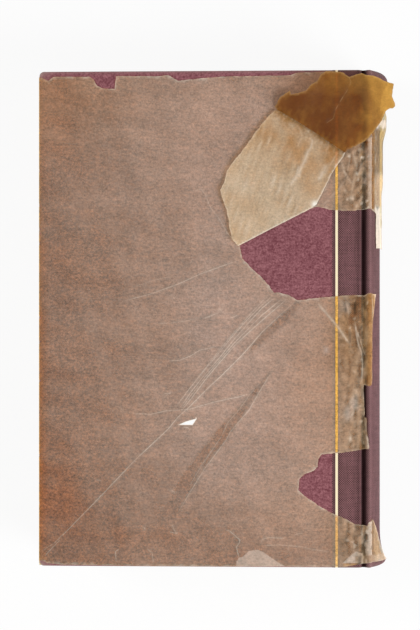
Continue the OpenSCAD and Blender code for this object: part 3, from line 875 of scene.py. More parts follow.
def endpaper_points(p_from, p_to, columns):
    """Outline of an endpaper and the points inside it, with columns where it bends."""
    corners = [(p_from, -PAGE_HALF), (p_to, -PAGE_HALF), (p_to, PAGE_HALF), (p_from, PAGE_HALF)]
    steps = (3.0, 3.0, 3.0, 2.0)
    outline = torn_outline([
        ([a, b], step, 0.0) for a, b, step in zip(corners, corners[1:] + corners[:1], steps)
    ])
    return outline, filled(outline, 4.0, columns=[(p, 2.0) for p in columns])


def flyleaf(name, side):
    """Free endpaper on the block, a little wavy, bent up over the shoulder."""
    outline, inner = endpaper_points(1.6, CREST_X - flyleaf_lo[0], (2.2, 2.8, 3.4, 4.0, 5.0))

    def place(points, offset):
        u = shoulder_level(points[:, 0]) + offset
        return np.stack([CREST_X - points[:, 0], points[:, 1], MID_Z + side * u], axis=1)

    def values(points):
        flat = smooth(4, 30, points[:, 0])
        return {"height": 0.01 + 0.03 * flat * (1 + waves(points, 81 + side, 60)), "aged": rim_age(points)}

    return cut_sheet(name, outline, inner, place, FLYLEAF_T, values)


def pastedown(name, side):
    """Pasted endpaper: it shows the step of the turn-ins, and crosses the joint to the shoulder."""
    bends = (1.8, 2.3, 2.8, 3.3, PASTED_BENT, 4.5)
    turn_p, turn_y = COVER_W - TURN_IN, HALF_H - TURN_IN
    steps = (GAUZE_P + 0.4, GAUZE_P + 1.4, turn_p - 1.3, turn_p - 0.2)
    outline, inner = endpaper_points(JOINT_P, PAGE_P, (*bends, *steps))
    row = np.concatenate([bends, np.arange(6.5, PAGE_P - 0.5, 2.5)])
    for y in (turn_y - 1.3, turn_y - 0.2):
        inner = inner[np.abs(np.abs(inner[:, 1]) - y) > 0.3]
        rows = [np.stack([row, np.full(len(row), way * y)], axis=1) for way in (1, -1)]
        inner = np.concatenate([inner, *rows])

    def place(points, offset):
        p, y = points[:, 0], points[:, 1]
        over_ends = smooth(turn_y - 1.4, turn_y - 0.2, np.abs(y))
        over_edge = smooth(turn_p - 1.4, turn_p - 0.2, p)
        over = np.maximum.reduce([over_ends, over_edge, smooth(GAUZE_P + 1.4, GAUZE_P + 0.4, p)])
        joint = np.maximum(shoulder_level(p) + FLYLEAF_T + 0.05, INNER_U)
        level = np.where(p < PASTED_BENT, joint, INNER_U + SKIN_T * (1 - over))
        return np.stack([CREST_X - p, y, MID_Z + side * (level + offset)], axis=1)

    def values(points):
        return {"height": np.zeros(len(points)), "aged": rim_age(points)}

    return cut_sheet(name, outline, inner, place, FLYLEAF_T, values)


def rim_age(points):
    """Browning of an endpaper towards its edges."""
    away = np.minimum(PAGE_HALF - np.abs(points[:, 1]), PAGE_P - points[:, 0])
    return np.exp(-np.clip(away, 0, None) / 9) * (0.8 + 0.3 * waves(points, 91, 25))


# Wrapper form
def quarter_turn(start, r, heading):
    """Rows of a path that turns left by 90 degrees from a heading: p, x, height and outer normal."""
    rows = []
    for t in np.radians((30, 60, 90)):
        along, up = math.cos(heading + t), math.sin(heading + t)
        x = start[1] + r * (up - math.sin(heading))
        u = start[2] - r * (along - math.cos(heading))
        rows.append((start[0] + r * t, x, u, up, -along))
    return rows


# The wrapper over the joint: distance from the crest, height, normal
OVER_JOINT = [
    (0.5, 17.68, -0.2, 1), (1, 17.36, -0.4, 1), (1.5, 16.96, -0.5, 1), (2, 16.60, -0.4, 1),
    (2.6, 16.42, -0.1, 1), (3.2, 16.52, 0.3, 1), (3.8, 16.95, 0.5, 1), (4.4, 17.36, 0.4, 1),
    (5.0, 17.61, 0.2, 1), (5.7, SKIN_U + FLOAT, 0, 1), (7, SKIN_U + FLOAT, 0, 1),
]


def wrapper_form():
    """Path of the back panel's inner face: tables of p, x from the crest, height and normal.
    p is the distance from the crest towards the fore edge, round it, and over the flap inside.
    Under 0 it runs down the spine."""
    rows = []
    for p in np.arange(-26, -0.4, 0.5):
        angle = math.asin(HINGE_U / SPINE_R) + p / SPINE_R
        nx, nu = math.cos(angle), math.sin(angle)
        clear = SPINE_R + 0.1 + 0.45 * float(smooth(-2.2, -0.4, p))
        rows.append((p, clear * nx - SPINE_R + SPINE_ROUND, clear * nu, nx, nu))
    rows += [(-0.25, 0.42, 17.60, 0.6, 0.8), (0, 0.0, 17.76, 0.1, 1)]
    rows += [(p, -p, *rest) for p, *rest in OVER_JOINT]
    flat_end = COVER_W + FLOAT - 0.3
    rows.append((flat_end, -flat_end, SKIN_U + FLOAT, 0, 1))
    rows += quarter_turn(rows[-1], 0.3 + FLOAT, math.pi)
    p, x, u = rows[-1][:3]
    wall = SKIN_U - INNER_U - 0.6
    rows.append((p + wall, x, u - wall, -1, 0))
    low = INNER_U - 0.01
    rows += quarter_turn(rows[-1], rows[-1][2] - low, 1.5 * math.pi)
    rows.append((rows[-1][0] + FLAP_W, rows[-1][1] + FLAP_W, low, 0, -1))
    table = np.array(rows)
    table[:, 3:5] /= np.linalg.norm(table[:, 3:5], axis=1)[:, None]
    return table


FORM = wrapper_form()
FLAP_END = float(FORM[-1, 0]) - 0.4
TURN_P = COVER_W
# Columns of points where the wrapper bends: (distance from the crest, step along the column)
JOINT_COLUMNS = [(p, 1.2) for p in (-1.6, -0.9, -0.25, 0.25, 0.8, 1.4, 2.0, 2.6, 3.2, 3.8, 4.4, 5.0, 5.7)]
TURN_COLUMNS = [(float(p), 2.2) for p in FORM[:, 0] if TURN_P - 1 < p < TURN_P + 6]
TURN_COLUMNS += [(TURN_P + 1.7, 2.2), (TURN_P + 2.6, 2.2)]


def on_back(points, offset):
    """Points in the frame, in mm, of cover coordinates at an offset from the form."""
    p, y = points[:, 0], points[:, 1]
    x, u, nx, nu = (np.interp(p, FORM[:, 0], FORM[:, k]) for k in range(1, 5))
    size = np.sqrt(nx**2 + nu**2)
    nx, nu = nx / size, nu / size
    share = np.where(p < 0, 1 - np.square(u / HINGE_U), 0)
    x = x + swell_at(y) * unit(share)
    return np.stack([CREST_X + x + nx * offset, y, MID_Z + u + nu * offset], axis=1)


def on_front(points, offset):
    """The same for the front cover."""
    laid = on_back(points, offset)
    laid[:, 2] = 2 * MID_Z - laid[:, 2]
    return laid


def spine_p(u):
    """Place on the form of a height on the spine."""
    return -SPINE_R * (math.asin(HINGE_U / SPINE_R) - math.asin(u / SPINE_R))


# Torn edges of the back panel, in pixels of the photograph
HEAD_EDGE = [
    (41, 76.8), (47.4, 80), (53, 76), (89, 76), (93, 78.7), (96.5, 85), (101.6, 87.6), (114.4, 88.3),
    (115.7, 75.5), (156.5, 76), (168, 75), (178, 80.6), (203.7, 78), (220, 76.8), (290, 75.7),
    (297, 73.2), (322, 72.4), (336, 73.6), (346, 78), (352, 88), (360, 102), (366, 116),
]
WINDOW_HEAD = [
    (368.5, 208.8), (357, 210), (354.5, 211), (345.7, 211), (330, 210), (317, 207), (310, 209),
    (270, 229.3), (239.5, 245), (242, 258.4), (253, 269.6), (261.7, 277.4), (268.8, 285),
    (273.7, 292.8), (280, 292.8), (289.8, 295.6), (297.5, 300.2), (308, 298.8), (332, 296.6),
    (348.7, 295.2), (363.5, 295.6), (368.4, 293.2),
]
# The strip's first points: (distance from the crest along the form in mm, pixel height)
STRIP_START = [(-6.2, 294.2), (-4.6, 303), (-2.6, 321.6)]
STRIP_EDGE = [
    (371.5, 334), (371.5, 381), (369, 386), (363.5, 384.7), (364, 404), (364.4, 416.8),
    (366.3, 417.5), (367, 435), (368.5, 443.5), (368.4, 448.4), (364.2, 448.4),
]
WINDOW_TAIL = [
    (351.5, 450.8), (334.7, 452.6), (322, 453.6), (318, 459), (317.6, 466), (313.7, 470),
    (304.5, 473.7), (299.6, 478), (298.2, 489.8), (306.6, 496.8), (316.5, 503.8), (330.5, 512),
    (341.7, 516.5), (355.7, 523.5), (367, 525.2), (368.4, 521.4),
]
TAIL_EDGE = [
    (357, 563.5), (345, 565.8), (286, 565.9), (200, 566.1), (120, 566), (60, 565.2), (47, 564),
    (39.5, 560.5),
]
# Scraps on the spine: [distance from the crest along the form, from the head or the tail], in mm
HEAD_SCRAP = [
    (-3, 20.5), (-9, 17.6), (-14.3, 17), (-20.3, 24), (-22.0, 32), (-22.3, 40), (-22.3, 55), (-21.6, 61.5),
    (-21.9, 72), (-20.3, 79.5), (-12, 79.2), (-6.2, 79.5), (-5.6, 72), (-6, 64), (-2.6, 62.6),
]
TAIL_SCRAP = [
    (-1.4, 21.6), (-3.2, 21.0), (-8.8, 14), (-11, 10), (-12.9, 7), (-13.8, 4.5), (-15, 2.6),
    (-9, 2.4), (-2, 2.5),
]
# Creases: (pixels, half width in mm, pale line, which is partly painted highlight, dark halo of painted
# shade, height in mm)
CREASES = [
    ([(297, 300), (281, 314), (262, 332), (250, 346), (240, 357), (232, 365), (222, 375), (210, 386),
      (198, 398), (188, 408), (178, 417), (168, 429), (135, 460), (94, 503), (54, 544), (42, 556)],
     0.28, 0.62, 0.25, 0.20),
    ([(289, 297), (268, 315), (250, 331), (235, 345), (220, 362), (205, 380), (190, 400), (178, 415)],
     0.28, 0.55, 0.25, 0.15),
    ([(284, 297), (262, 315), (250, 327), (235, 342), (220, 359.5), (205, 377), (190, 396.5), (178, 413)],
     0.26, 0.52, 0.25, 0.13),
    ([(279, 294), (262, 308), (250, 321), (235, 338), (220, 357), (205, 374), (190, 393), (178, 411)],
     0.26, 0.50, 0.25, 0.12),
    ([(275, 293), (258, 309), (246, 321), (231, 338), (216, 356.5), (201, 374), (186, 393), (175, 409)],
     0.26, 0.42, 0.25, 0.11),
    ([(270, 293), (252, 312), (236, 330), (221, 348), (206, 367), (190, 388), (172, 411)],
     0.24, 0.34, 0.2, 0.08),
    ([(60, 540), (52, 548), (44, 556.5)], 0.26, 0.5, 0.2, 0.12),
    ([(66, 530), (54, 543), (41, 552)], 0.24, 0.4, 0.2, 0.1),
    ([(275, 366), (259, 392), (249, 410), (240, 420), (230, 432), (226, 440), (205, 468), (190, 492),
      (176, 516)], 0.24, 0.45, 0.0, 0.10),
    ([(262, 380), (250, 394), (240, 408), (228, 422), (221, 437), (203, 463), (188, 488)],
     0.22, 0.34, 0.0, 0.08),
    ([(123, 301), (150, 294), (178, 284), (200, 274), (222, 266), (242, 259)], 0.22, 0.5, 0.2, 0.06),
    ([(158, 323.5), (170, 323), (182, 321.5), (203, 317)], 0.2, 0.3, 0.1, 0.05),
    ([(130, 288), (150, 281), (172, 276)], 0.2, 0.22, 0.1, 0.05),
    ([(144, 527), (144.6, 530)], 0.26, 0.7, 0.0, 0.05),
    ([(161, 508), (161.4, 510)], 0.26, 0.7, 0.0, 0.05),
    ([(172, 524), (174, 530), (176.5, 533.5), (169, 532)], 0.24, 0.5, 0.1, 0.05),
    ([(171, 490), (175, 492.5)], 0.24, 0.5, 0.0, 0.05),
    ([(203, 467), (203.6, 469)], 0.24, 0.5, 0.0, 0.05),
    ([(96, 480), (101, 481)], 0.22, 0.35, 0.0, 0.05),
    ([(121, 408), (122, 411)], 0.22, 0.5, 0.0, 0.05),
    ([(163, 393.5), (171, 393)], 0.22, 0.4, 0.0, 0.05),
    ([(88, 332), (93, 331)], 0.22, 0.3, 0.0, 0.05),
    ([(70, 205), (71, 207)], 0.24, 0.4, 0.0, 0.05),
    ([(140, 140), (142, 141)], 0.24, 0.35, 0.0, 0.05),
    ([(167, 361), (180, 360), (190, 356), (200, 350), (208, 348.5), (217, 346)], 0.2, 0.5, 0.2, 0.06),
    ([(128, 412.4), (135, 413.7), (151, 414.3), (165, 411), (178, 410), (190, 409), (203, 405), (218, 401),
      (240, 396.5), (253, 392)], 0.2, 0.55, 0.3, 0.08),
    ([(203, 318.5), (210, 316), (218, 313)], 0.18, 0.5, 0.2, 0.05),
    ([(230, 318), (238, 315)], 0.18, 0.45, 0.1, 0.05),
    ([(165, 396), (170, 393)], 0.18, 0.45, 0.1, 0.05),
    # Dark line under the white chip of a tear: painted shadow of its lifted sliver
    ([(183, 427), (187.5, 427.5), (189, 429)], 0.3, 0.5, 0.6, 0.1),
    ([(219.5, 310), (220.8, 310.4)], 0.35, 0.9, 0.0, 0.05),
    ([(171.5, 297), (172.6, 297.3)], 0.35, 0.8, 0.0, 0.05),
    ([(192, 191.6), (201, 189), (205, 194), (210, 207), (220, 220), (228, 234), (238, 245)],
     0.18, 0.3, 0.2, 0.06),
    ([(317, 303), (325, 312), (337, 326), (350, 345)], 0.85, 0.6, 0.2, 0.3),
    ([(355, 322), (356, 335), (358, 345), (361, 352), (362, 365), (361, 380)], 0.5, 0.55, 0.5, 0.35),
    ([(346, 300), (349, 318), (350, 345), (352, 372)], 0.9, 0.15, 0.4, 0.25),
    ([(342, 418), (347, 408), (352, 398), (358, 392)], 1.2, 0.26, 0.3, 0.3),
    ([(350, 424), (353, 410), (357, 398)], 1.0, 0.24, 0.3, 0.3),
    ([(349, 428), (350, 438), (347, 446)], 1.0, 0.2, 0.3, 0.2),
    ([(340, 158), (344, 172), (352, 186), (350, 205)], 0.9, 0.24, 0.4, 0.3),
    ([(352, 150), (356, 168), (352, 190)], 0.9, 0.26, 0.4, 0.3),
    ([(322, 206), (332, 196), (341, 186), (347, 176)], 0.8, 0.2, 0.3, 0.25),
    ([(358, 140), (360, 165), (357, 185)], 0.7, 0.25, 0.3, 0.2),
    ([(215, 79.5), (240, 78.6), (262, 77.6), (290, 77)], 0.3, -0.1, 0.9, 0.1),
    ([(116, 563), (115, 552), (119, 549)], 0.26, 0.4, 0.2, 0.1),
    ([(153, 563), (152, 553), (147, 549)], 0.26, 0.4, 0.2, 0.1),
    ([(355, 325), (361, 345), (366, 357)], 0.3, 0.35, 0.4, 0.2),
    ([(350.5, 300), (350.5, 345)], 0.2, 0.0, 0.8, -0.03),
    ([(354.5, 300), (354.5, 345)], 0.2, 0.0, 0.8, -0.03),
    ([(372, 293), (373.5, 302), (374, 312), (372, 322)], 0.35, 0.8, 0.0, 0.1),
    ([(363, 384), (368, 388), (370, 386)], 0.35, 0.8, 0.0, 0.1),
    ([(225, 529.5), (230, 531), (238, 538), (240, 539.5), (239, 543), (236.5, 546.5), (237.5, 552),
      (239, 557)], 0.22, 0.55, 0.4, 0.06),
    ([(261, 544), (262, 539), (269, 537), (285, 538)], 0.2, 0.45, 0.3, 0.06),
    ([(262, 545), (280, 544.5), (300, 546), (315, 549), (330, 551)], 0.2, 0.4, 0.2, 0.05),
    ([(294, 535), (297, 533), (303, 533)], 0.2, 0.45, 0.1, 0.05),
    ([(288, 545), (288, 551)], 0.2, 0.4, 0.1, 0.05),
    ([(350, 540), (357, 545)], 0.2, 0.5, 0.1, 0.05),
    ([(350, 157), (347, 172)], 0.6, 0.3, 0.4, 0.2),
    ([(330, 178), (324, 193)], 0.6, 0.3, 0.4, 0.2),
]
# Broad soft tones: (pixel, radii in pixels, tone, browning). The largest lighter tones, over the middle and
# the right of the cover, are partly painted sheen; the darker, browner ones at the edges are the glassine's
# own toning
TONES = [
    ((290, 395), (95, 130), 0.7, 0.0), ((250, 320), (60, 40), 0.25, 0.0),
    ((215, 130), (70, 70), 0.5, 0.0), ((60, 300), (60, 400), -0.7, 0.02),
    ((60, 90), (70, 60), 0.15, 0.36), ((200, 540), (180, 45), -0.65, 0.05),
    ((354, 320), (22, 300), 0.2, 0.42), ((300, 520), (50, 30), 0.75, 0.1),
    ((345, 470), (26, 60), 0.2, 0.1), ((215, 440), (26, 60), -0.2, 0.0),
    ((38, 420), (7, 260), -0.45, 0.45), ((300, 86), (16, 10), 0.4, 0.0), ((330, 80), (60, 14), 0.2, 0.3),
    ((350, 180), (20, 34), 0.5, 0.15), ((345, 330), (18, 46), -0.1, 0.3),
    ((220, 320), (42, 150), 0.3, -0.12), ((215, 450), (40, 45), 0.2, -0.08),
    ((55, 495), (40, 50), -0.75, 0.05), ((105, 135), (60, 70), 0.28, 0.0),
    ((312, 370), (24, 80), 0.0, 0.12), ((345, 540), (20, 20), 0.25, 0.1),
]
# Patches with an edge: (outline in pixels, softness in pixels, tone, browning, pale mark)
PATCHES = [
    # Two bands of painted shade along the fan of creases
    ([(272, 370), (259, 392), (240, 420), (226, 440), (205, 468), (190, 492), (175, 517), (161, 518),
      (172, 492), (190, 464), (205, 444), (221, 425), (240, 405), (262, 380)], 2.0, -0.5, 0.10, 0.0),
    ([(303, 299), (297, 300), (281, 314), (262, 332), (250, 346), (249, 354), (263, 342), (281, 327),
      (294, 314)], 2.2, -0.35, 0.12, 0.0),
    # A white chip where a tear catches the light: painted highlight
    ([(178.5, 424.8), (186, 421.4), (196.5, 418.6), (192.5, 424.8)], 0.5, 1.5, 0.0, 2.0),
    ([(350, 296), (362, 296), (362, 322), (350, 322)], 3.0, -0.9, 0.75, 0.0),
    ([(340, 300), (350, 300), (350, 312), (340, 312)], 3.0, 0.4, 0.3, 0.05),
    ([(334.9, 290), (337.7, 290), (337.7, 460), (334.9, 460)], 0.7, -1.4, 0.40, 0.0),
    ([(334.9, 150), (337.7, 150), (337.7, 212), (334.9, 212)], 0.7, -1.3, 0.36, 0.0),
    ([(363, 292), (376, 292), (376, 387), (364, 387), (365, 360), (362, 345)], 2.0, 0.35, 1.0, 0.0),
    ([(364, 325), (370, 323), (371, 343), (363, 341)], 3.0, 0.9, 1.0, 0.1),
    ([(344, 408), (350, 406), (351, 418), (345, 421)], 3.0, 0.9, 0.1, 0.15),
    ([(350, 399), (357, 396), (358, 408), (351, 411)], 3.0, 0.9, 0.1, 0.15),
    ([(324, 347), (328, 347), (328, 353), (324, 353)], 2.0, 0.8, 0.0, 0.1),
    ([(361.5, 416), (367, 416), (367, 448), (361.5, 448)], 1.0, 0.4, 0.7, 0.0),
    ([(366, 435), (371, 435), (371, 449), (366, 449)], 0.8, 1.0, 0.2, 0.6),
    ([(236.5, 561), (239, 557.5), (243, 556.5), (249, 550.5), (258, 549.5), (264, 552), (270, 556.5),
      (279, 562.5), (288, 567), (236, 567)], 0.5, 0.75, 0.05, 0.24),
    ([(342, 562.5), (352, 553), (356, 550.5), (362, 553), (362, 561.5)], 0.5, 0.9, 0.1, 0.28),
    ([(366, 521), (371, 521), (371, 560), (366, 560)], 0.5, 0.9, 0.15, 0.35),
    ([(371.2, 521), (377, 521), (381, 556), (371.2, 560)], 0.6, -0.1, 0.7, 0.0),
    ([(355, 555), (384, 555), (384, 561), (355, 561)], 0.9, 0.5, 0.5, 0.12),
    ([(343, 562.5), (357, 562.5), (357, 567), (343, 567)], 0.6, 0.8, 1.0, 0.1),
    ([(367.2, 137), (370.4, 137), (370.4, 209), (367.2, 209)], 0.9, 0.9, 0.3, 0.26),
    ([(371.2, 120), (375.4, 120), (375.4, 209), (371.2, 209)], 1.6, -0.6, 0.95, 0.0),
    ([(376, 127), (388, 127), (388, 172), (376, 172)], 2.2, -0.4, 0.75, 0.0),
    ([(376, 172), (388, 172), (388, 206), (376, 206)], 2.2, 0.1, 0.62, 0.05),
    ([(377.5, 118), (386, 118), (386, 127), (377.5, 127)], 0.7, 1.0, 0.1, 0.5),
    ([(362, 184.5), (367, 184.5), (367, 209), (362, 209)], 1.0, -1.0, 0.4, 0.0),
    ([(375.6, 208), (381, 208), (388, 249), (375.2, 249)], 0.6, 0.8, 0.05, 0.5),
    ([(361, 146), (367, 146), (367, 183), (361, 183)], 1.2, 0.6, 0.4, 0.0),
    # Painted shadow along the scrap's pale strip, which stands off the spine
    ([(372, 213), (375, 213), (374.6, 246), (372, 246)], 0.6, -1.0, 0.6, 0.0),
]


def on_sheet(x, y):
    """Sheet coordinates of a pixel, down the round of the spine where it lies beyond the crest."""
    p, height = at(x, y)
    if p >= 0:
        return (p, height)
    beyond = min(-0.8 * p, SPINE_ROUND - 0.1)
    u = math.sqrt(SPINE_R**2 - (beyond + SPINE_R - SPINE_ROUND) ** 2)
    return (spine_p(u), height)


def painted(points):
    """Tone, browning and pale mark of places on the panel."""
    tone, brown, mark = np.zeros(len(points)), np.full(len(points), 0.12), np.zeros(len(points))
    for pixel, (rx, ry), level, age in TONES:
        away = (points - at(*pixel)) / (rx * PX_MM, ry * PX_MM)
        near = np.exp(-np.square(away).sum(axis=1))
        tone += level * near
        brown += age * near
    uneven = 0.6 * waves(points, 34, 4) * smooth(4, 2, points[:, 0])
    for outline, soft, level, age, pale in PATCHES:
        ring = [on_sheet(*q) for q in outline]
        depth = line_distance(points, ring, True) * np.where(inside(points, ring), 1, -1) + uneven
        blur = soft * PX_MM * (1 + 0.5 * waves(points, 33, 5) if soft > 1.4 else 1)
        cover = smooth(-blur, blur, depth)
        tone += (level - tone) * cover
        brown += (age - brown) * cover
        mark += (pale - mark) * cover
    return tone, brown, mark


def panel_outline():
    """Torn outline of the back panel: round the flap, down the windows and scraps by the spine."""
    head, tail = HALF_H - WRAPPER_HEAD, WRAPPER_TAIL - HALF_H
    top = [(FLAP_END, head), (TURN_P + 2, head), *pixels(HEAD_EDGE)]
    head_scrap = [(p, HALF_H - y) for p, y in HEAD_SCRAP]
    tail_scrap = [(p, y - HALF_H) for p, y in TAIL_SCRAP]
    window_head, window_tail = pixels(WINDOW_HEAD), pixels(WINDOW_TAIL)
    strip = [(p, at(0, y)[1]) for p, y in STRIP_START]
    strip += [(min(p, 40) if p > 0 else p * 1.6, y) for p, y in pixels(STRIP_EDGE)]
    bottom = pixels(TAIL_EDGE) + [(TURN_P + 2, tail), (FLAP_END, tail), (FLAP_END, head)]
    return torn_outline([
        (top[:2], 3.0, 0.0),
        (top[1:], 0.8, 0.10),
        (top[-1:] + head_scrap, 0.8, 0.12),
        (head_scrap[-1:] + window_head, 0.7, 0.14),
        (window_head[-1:] + strip, 0.7, 0.14),
        (strip[-1:] + window_tail, 0.7, 0.16),
        (window_tail[-1:] + tail_scrap, 0.7, 0.12),
        (tail_scrap[-1:] + bottom[:1], 0.8, 0.1),
        (bottom[:-3], 0.9, 0.05),
        (bottom[-4:], 3.0, 0.0),
    ])


def crease_field(points, lines, tone, mark, height):
    """Adds fine creases: a pale raised line, partly whitened fibres and partly a painted highlight, in a
    darker halo of painted shade, that fades towards its ends.
    """
    for k, (line, half, pale, dark, rise) in enumerate(lines):
        gap = line_distance(points, line)
        ends = np.minimum(*(np.linalg.norm(points - end, axis=1) for end in (line[0], line[-1])))
        length = sum(math.dist(a, b) for a, b in zip(line[:-1], line[1:]))
        shown = smooth(-0.02 * length, 0.12 * length, ends) * unit(0.85 + 0.3 * waves(points, 70 + k, 16))
        mark = np.maximum(mark, pale * shown * unit(1.15 - gap / half))
        tone = tone - dark * shown * bell(gap - 0.6, 0.5)
        height = height + rise * shown * bell(gap, 0.6)
    return tone, mark, height


# Pixel heights between which the head scrap gets dimmer, stands off the spine, and opens more
DIM_PX, LIFT_PX, OPEN_PX = (178, 170), (195, 180), (142, 124)


def upwards(pair, y):
    """Smooth step up the cover between two pixel heights."""
    low, high = (at(0, px)[1] for px in pair)
    return smooth(low, high, y)


def scrap_lift(p, y):
    """How far the scraps on the spine stand off it: the head scrap more and more towards its top."""
    opening = 0.45 + 0.6 * upwards(LIFT_PX, y) + 1.4 * upwards(OPEN_PX, y)
    return 1.1 * smooth(-6, -18, p) * np.where(y > 0, opening, 0.3)


def panel_values(outline):
    """The back panel's values(points), and the lines beside which it gets rows of points."""
    creases = [(pixels(line), *rest) for line, *rest in CREASES]

    def values(points):
        p, y = points[:, 0], points[:, 1]
        crimp = np.stack([p * 0.6 - y * 0.35, p * 0.15 + y * 0.5], axis=1)
        upright = np.stack([p + 0.5 * np.clip(y - 20, 0, None), 0.22 * y], axis=1)
        cover = (p > 0.6) & (p < TURN_P - 1)
        torn = p < TURN_P - 0.5
        crinkled = np.where(cover, smooth(17, 9, p), 0)
        joint = cover * smooth(6.5, 4.5, p)
        scrap, low_scrap = smooth(-2.5, -4.5, p), smooth(-13, -16, p)
        flap = smooth(TURN_P + 1, TURN_P + 3, p)
        rim = line_distance(points, outline, True)

        tone, brown, mark = painted(points)
        height = 0.05 + 0.05 * waves(points, 1, 26) + 0.03 * waves(points, 2, 9)
        height = np.clip(height + 0.035 * waves(crimp, 3, 2.4), 0.0, None)
        tone, mark, height = crease_field(points, creases, tone, mark, height)
        mark = np.maximum(mark, 0.5 * torn * unit(0.55 + 0.6 * waves(points, 12, 5)) * fade(rim, 0.36))
        height += 0.12 * torn * bell(rim, 0.7) * (0.6 + 0.4 * waves(points, 8, 4))

        # Upright crinkles beside the joint: raised folds, painted highlights (glints) on their ridges and
        # painted shade in their hollows
        folds = np.clip(waves(upright, 9, 3.0), -0.4, 2) + 0.5 * np.clip(waves(points, 10, 2.6), 0, 2)
        height += 0.20 * crinkled * np.clip(folds, 0, 3)
        glints = unit(waves(points, 18, 2.8) + 0.6 * waves(upright, 19, 1.8) - 0.7)
        mark += crinkled * (0.2 * unit(folds - 0.7) + (0.5 + 0.45 * smooth(0, 20, y)) * glints)
        shades = unit(-waves(upright, 24, 2.6) - 0.5) + 0.6 * unit(-waves(points, 25, 2.6) - 0.7)
        dim = 0.7 * crinkled * shades
        dim += scrap * upwards(DIM_PX, y) * (0.38 + 0.15 * waves(upright, 26, 3.0))

        tone += 0.25 * waves(points, 15, 30) + 0.2 * waves(points, 16, 11)
        tone += crinkled * (waves(upright, 11, 2.4) + waves(points, 17, 3.0))
        tone -= 0.7 * joint * smooth(1.0, 2.0, p) + 0.35 * low_scrap
        brown = np.maximum(brown, joint * (0.6 + 0.2 * waves(points, 20, 6)))
        brown = np.maximum(brown, (0.45 + 0.15 * waves(points, 31, 12)) * low_scrap)
        brown += flap * (0.16 + 0.08 * waves(points, 28, 30) - brown)
        tone += flap * (0.1 * waves(points, 29, 30) - tone)
        dense = 0.25 * scrap * (0.8 + 0.3 * waves(points, 23, 5)) + 0.15 * smooth(-11, -14, p) + 0.25 * flap
        height += np.where(p < -3, scrap_lift(p, y) + 0.12 * np.clip(waves(points, 14, 6), 0, 2), 0)
        height = np.where(p > TURN_P - 0.4, np.minimum(height, 0.04) * 0.3, height)
        return {
            "height": height, "mark": np.clip(mark, 0, 2), "tone": np.clip(tone, -1.5, 1.5),
            "brown": unit(brown), "dense": np.clip(dense, 0, 0.8), "dim": np.clip(dim, 0, 0.7),
        }

    rings = [[on_sheet(*q) for q in ring + ring[:1]] for ring, soft, *_ in PATCHES if soft < 1]
    return values, [(line, half) for line, half, *_ in creases] + [(ring, 0.2) for ring in rings]


def back_panel():
    outline = panel_outline()
    values, lines = panel_values(outline)
    inner = filled(outline, 1.15, lines, JOINT_COLUMNS + TURN_COLUMNS, (TURN_P - 1, 3.2))
    return cut_sheet("wrapper_back_panel", outline, inner, on_back, GLASSINE_T, values)


def front_panel():
    """Front panel of the wrapper, which the photograph does not show: a plain torn edge and the flap."""
    head, tail = HALF_H - WRAPPER_HEAD, WRAPPER_TAIL - HALF_H
    torn_edge = [(1.2, head), (1.5, 40), (1.1, -30), (1.3, tail)]
    outline = torn_outline([
        ([(FLAP_END, head), (TURN_P, head), torn_edge[0]], 3.0, 0.03),
        (torn_edge, 0.9, 0.14),
        ([torn_edge[-1], (TURN_P, tail), (FLAP_END, tail)], 3.0, 0.03),
        ([(FLAP_END, tail), (FLAP_END, head)], 3.0, 0.03),
    ])

    def values(points):
        torn = points[:, 0] < TURN_P - 2
        tone = -0.1 + 0.25 * waves(points, 21, 60)
        return {
            "height": np.full(len(points), -0.02), "tone": np.clip(tone, -1, 1),
            "mark": 0.4 * torn * fade(line_distance(points, outline, True), 0.5),
            "brown": 0.2 + 0.12 * waves(points, 22, 40),
        }

    inner = filled(outline, 2.6, columns=JOINT_COLUMNS[4:] + TURN_COLUMNS)
    return cut_sheet("wrapper_front_panel", outline, inner, on_front, GLASSINE_T, values)


# Turned-back piece, in pixels of the photograph: its edges, streaks of painted highlight on its shiny
# wrinkles, and bright corner
TURNED_BRIGHT = (315, 204.5)
TURNED_TORN = [
    (238, 246), (232, 239), (229, 225), (227, 211), (223, 200), (220.3, 190), (224.6, 182), (227, 171),
    (234, 161), (241, 153), (253, 136), (260, 127), (269, 116), (276.5, 109.6),
]
TURNED_CREASE = [(276.5, 109.6), (290, 117.4), (304, 126), (319, 135.6), (333, 145.4), (344.8, 153)]
TURNED_RIGHT = [(344.8, 153), (343, 157.5), (336, 167), (330.5, 176), (325, 187.5), (316.5, 204.5)]
TURNED_FOLD = [(316.5, 204.5), (312, 208), (270, 229.5), (238, 246)]
TURNED_HIGHLIGHT_STREAKS = [
    ([(309, 148), (305, 160), (299, 172), (293, 182)], 1.2, 0.42, 0.0, 0.35),
    ([(327, 163), (323, 172), (317, 182)], 1.3, 0.5, 0.0, 0.3),
    ([(299, 165), (296, 176), (290, 186)], 0.9, 0.34, 0.0, 0.2),
    ([(313, 138), (311, 147), (306, 156)], 0.8, 0.34, 0.0, 0.2),
    ([(301, 166), (299, 178)], 0.7, 0.35, 0.0, 0.2),
    ([(299, 128), (302, 136), (297, 148)], 0.7, 0.16, 0.2, 0.2),
    ([(338, 152), (328, 168), (322, 178)], 0.6, 0.2, 0.2, 0.15),
]


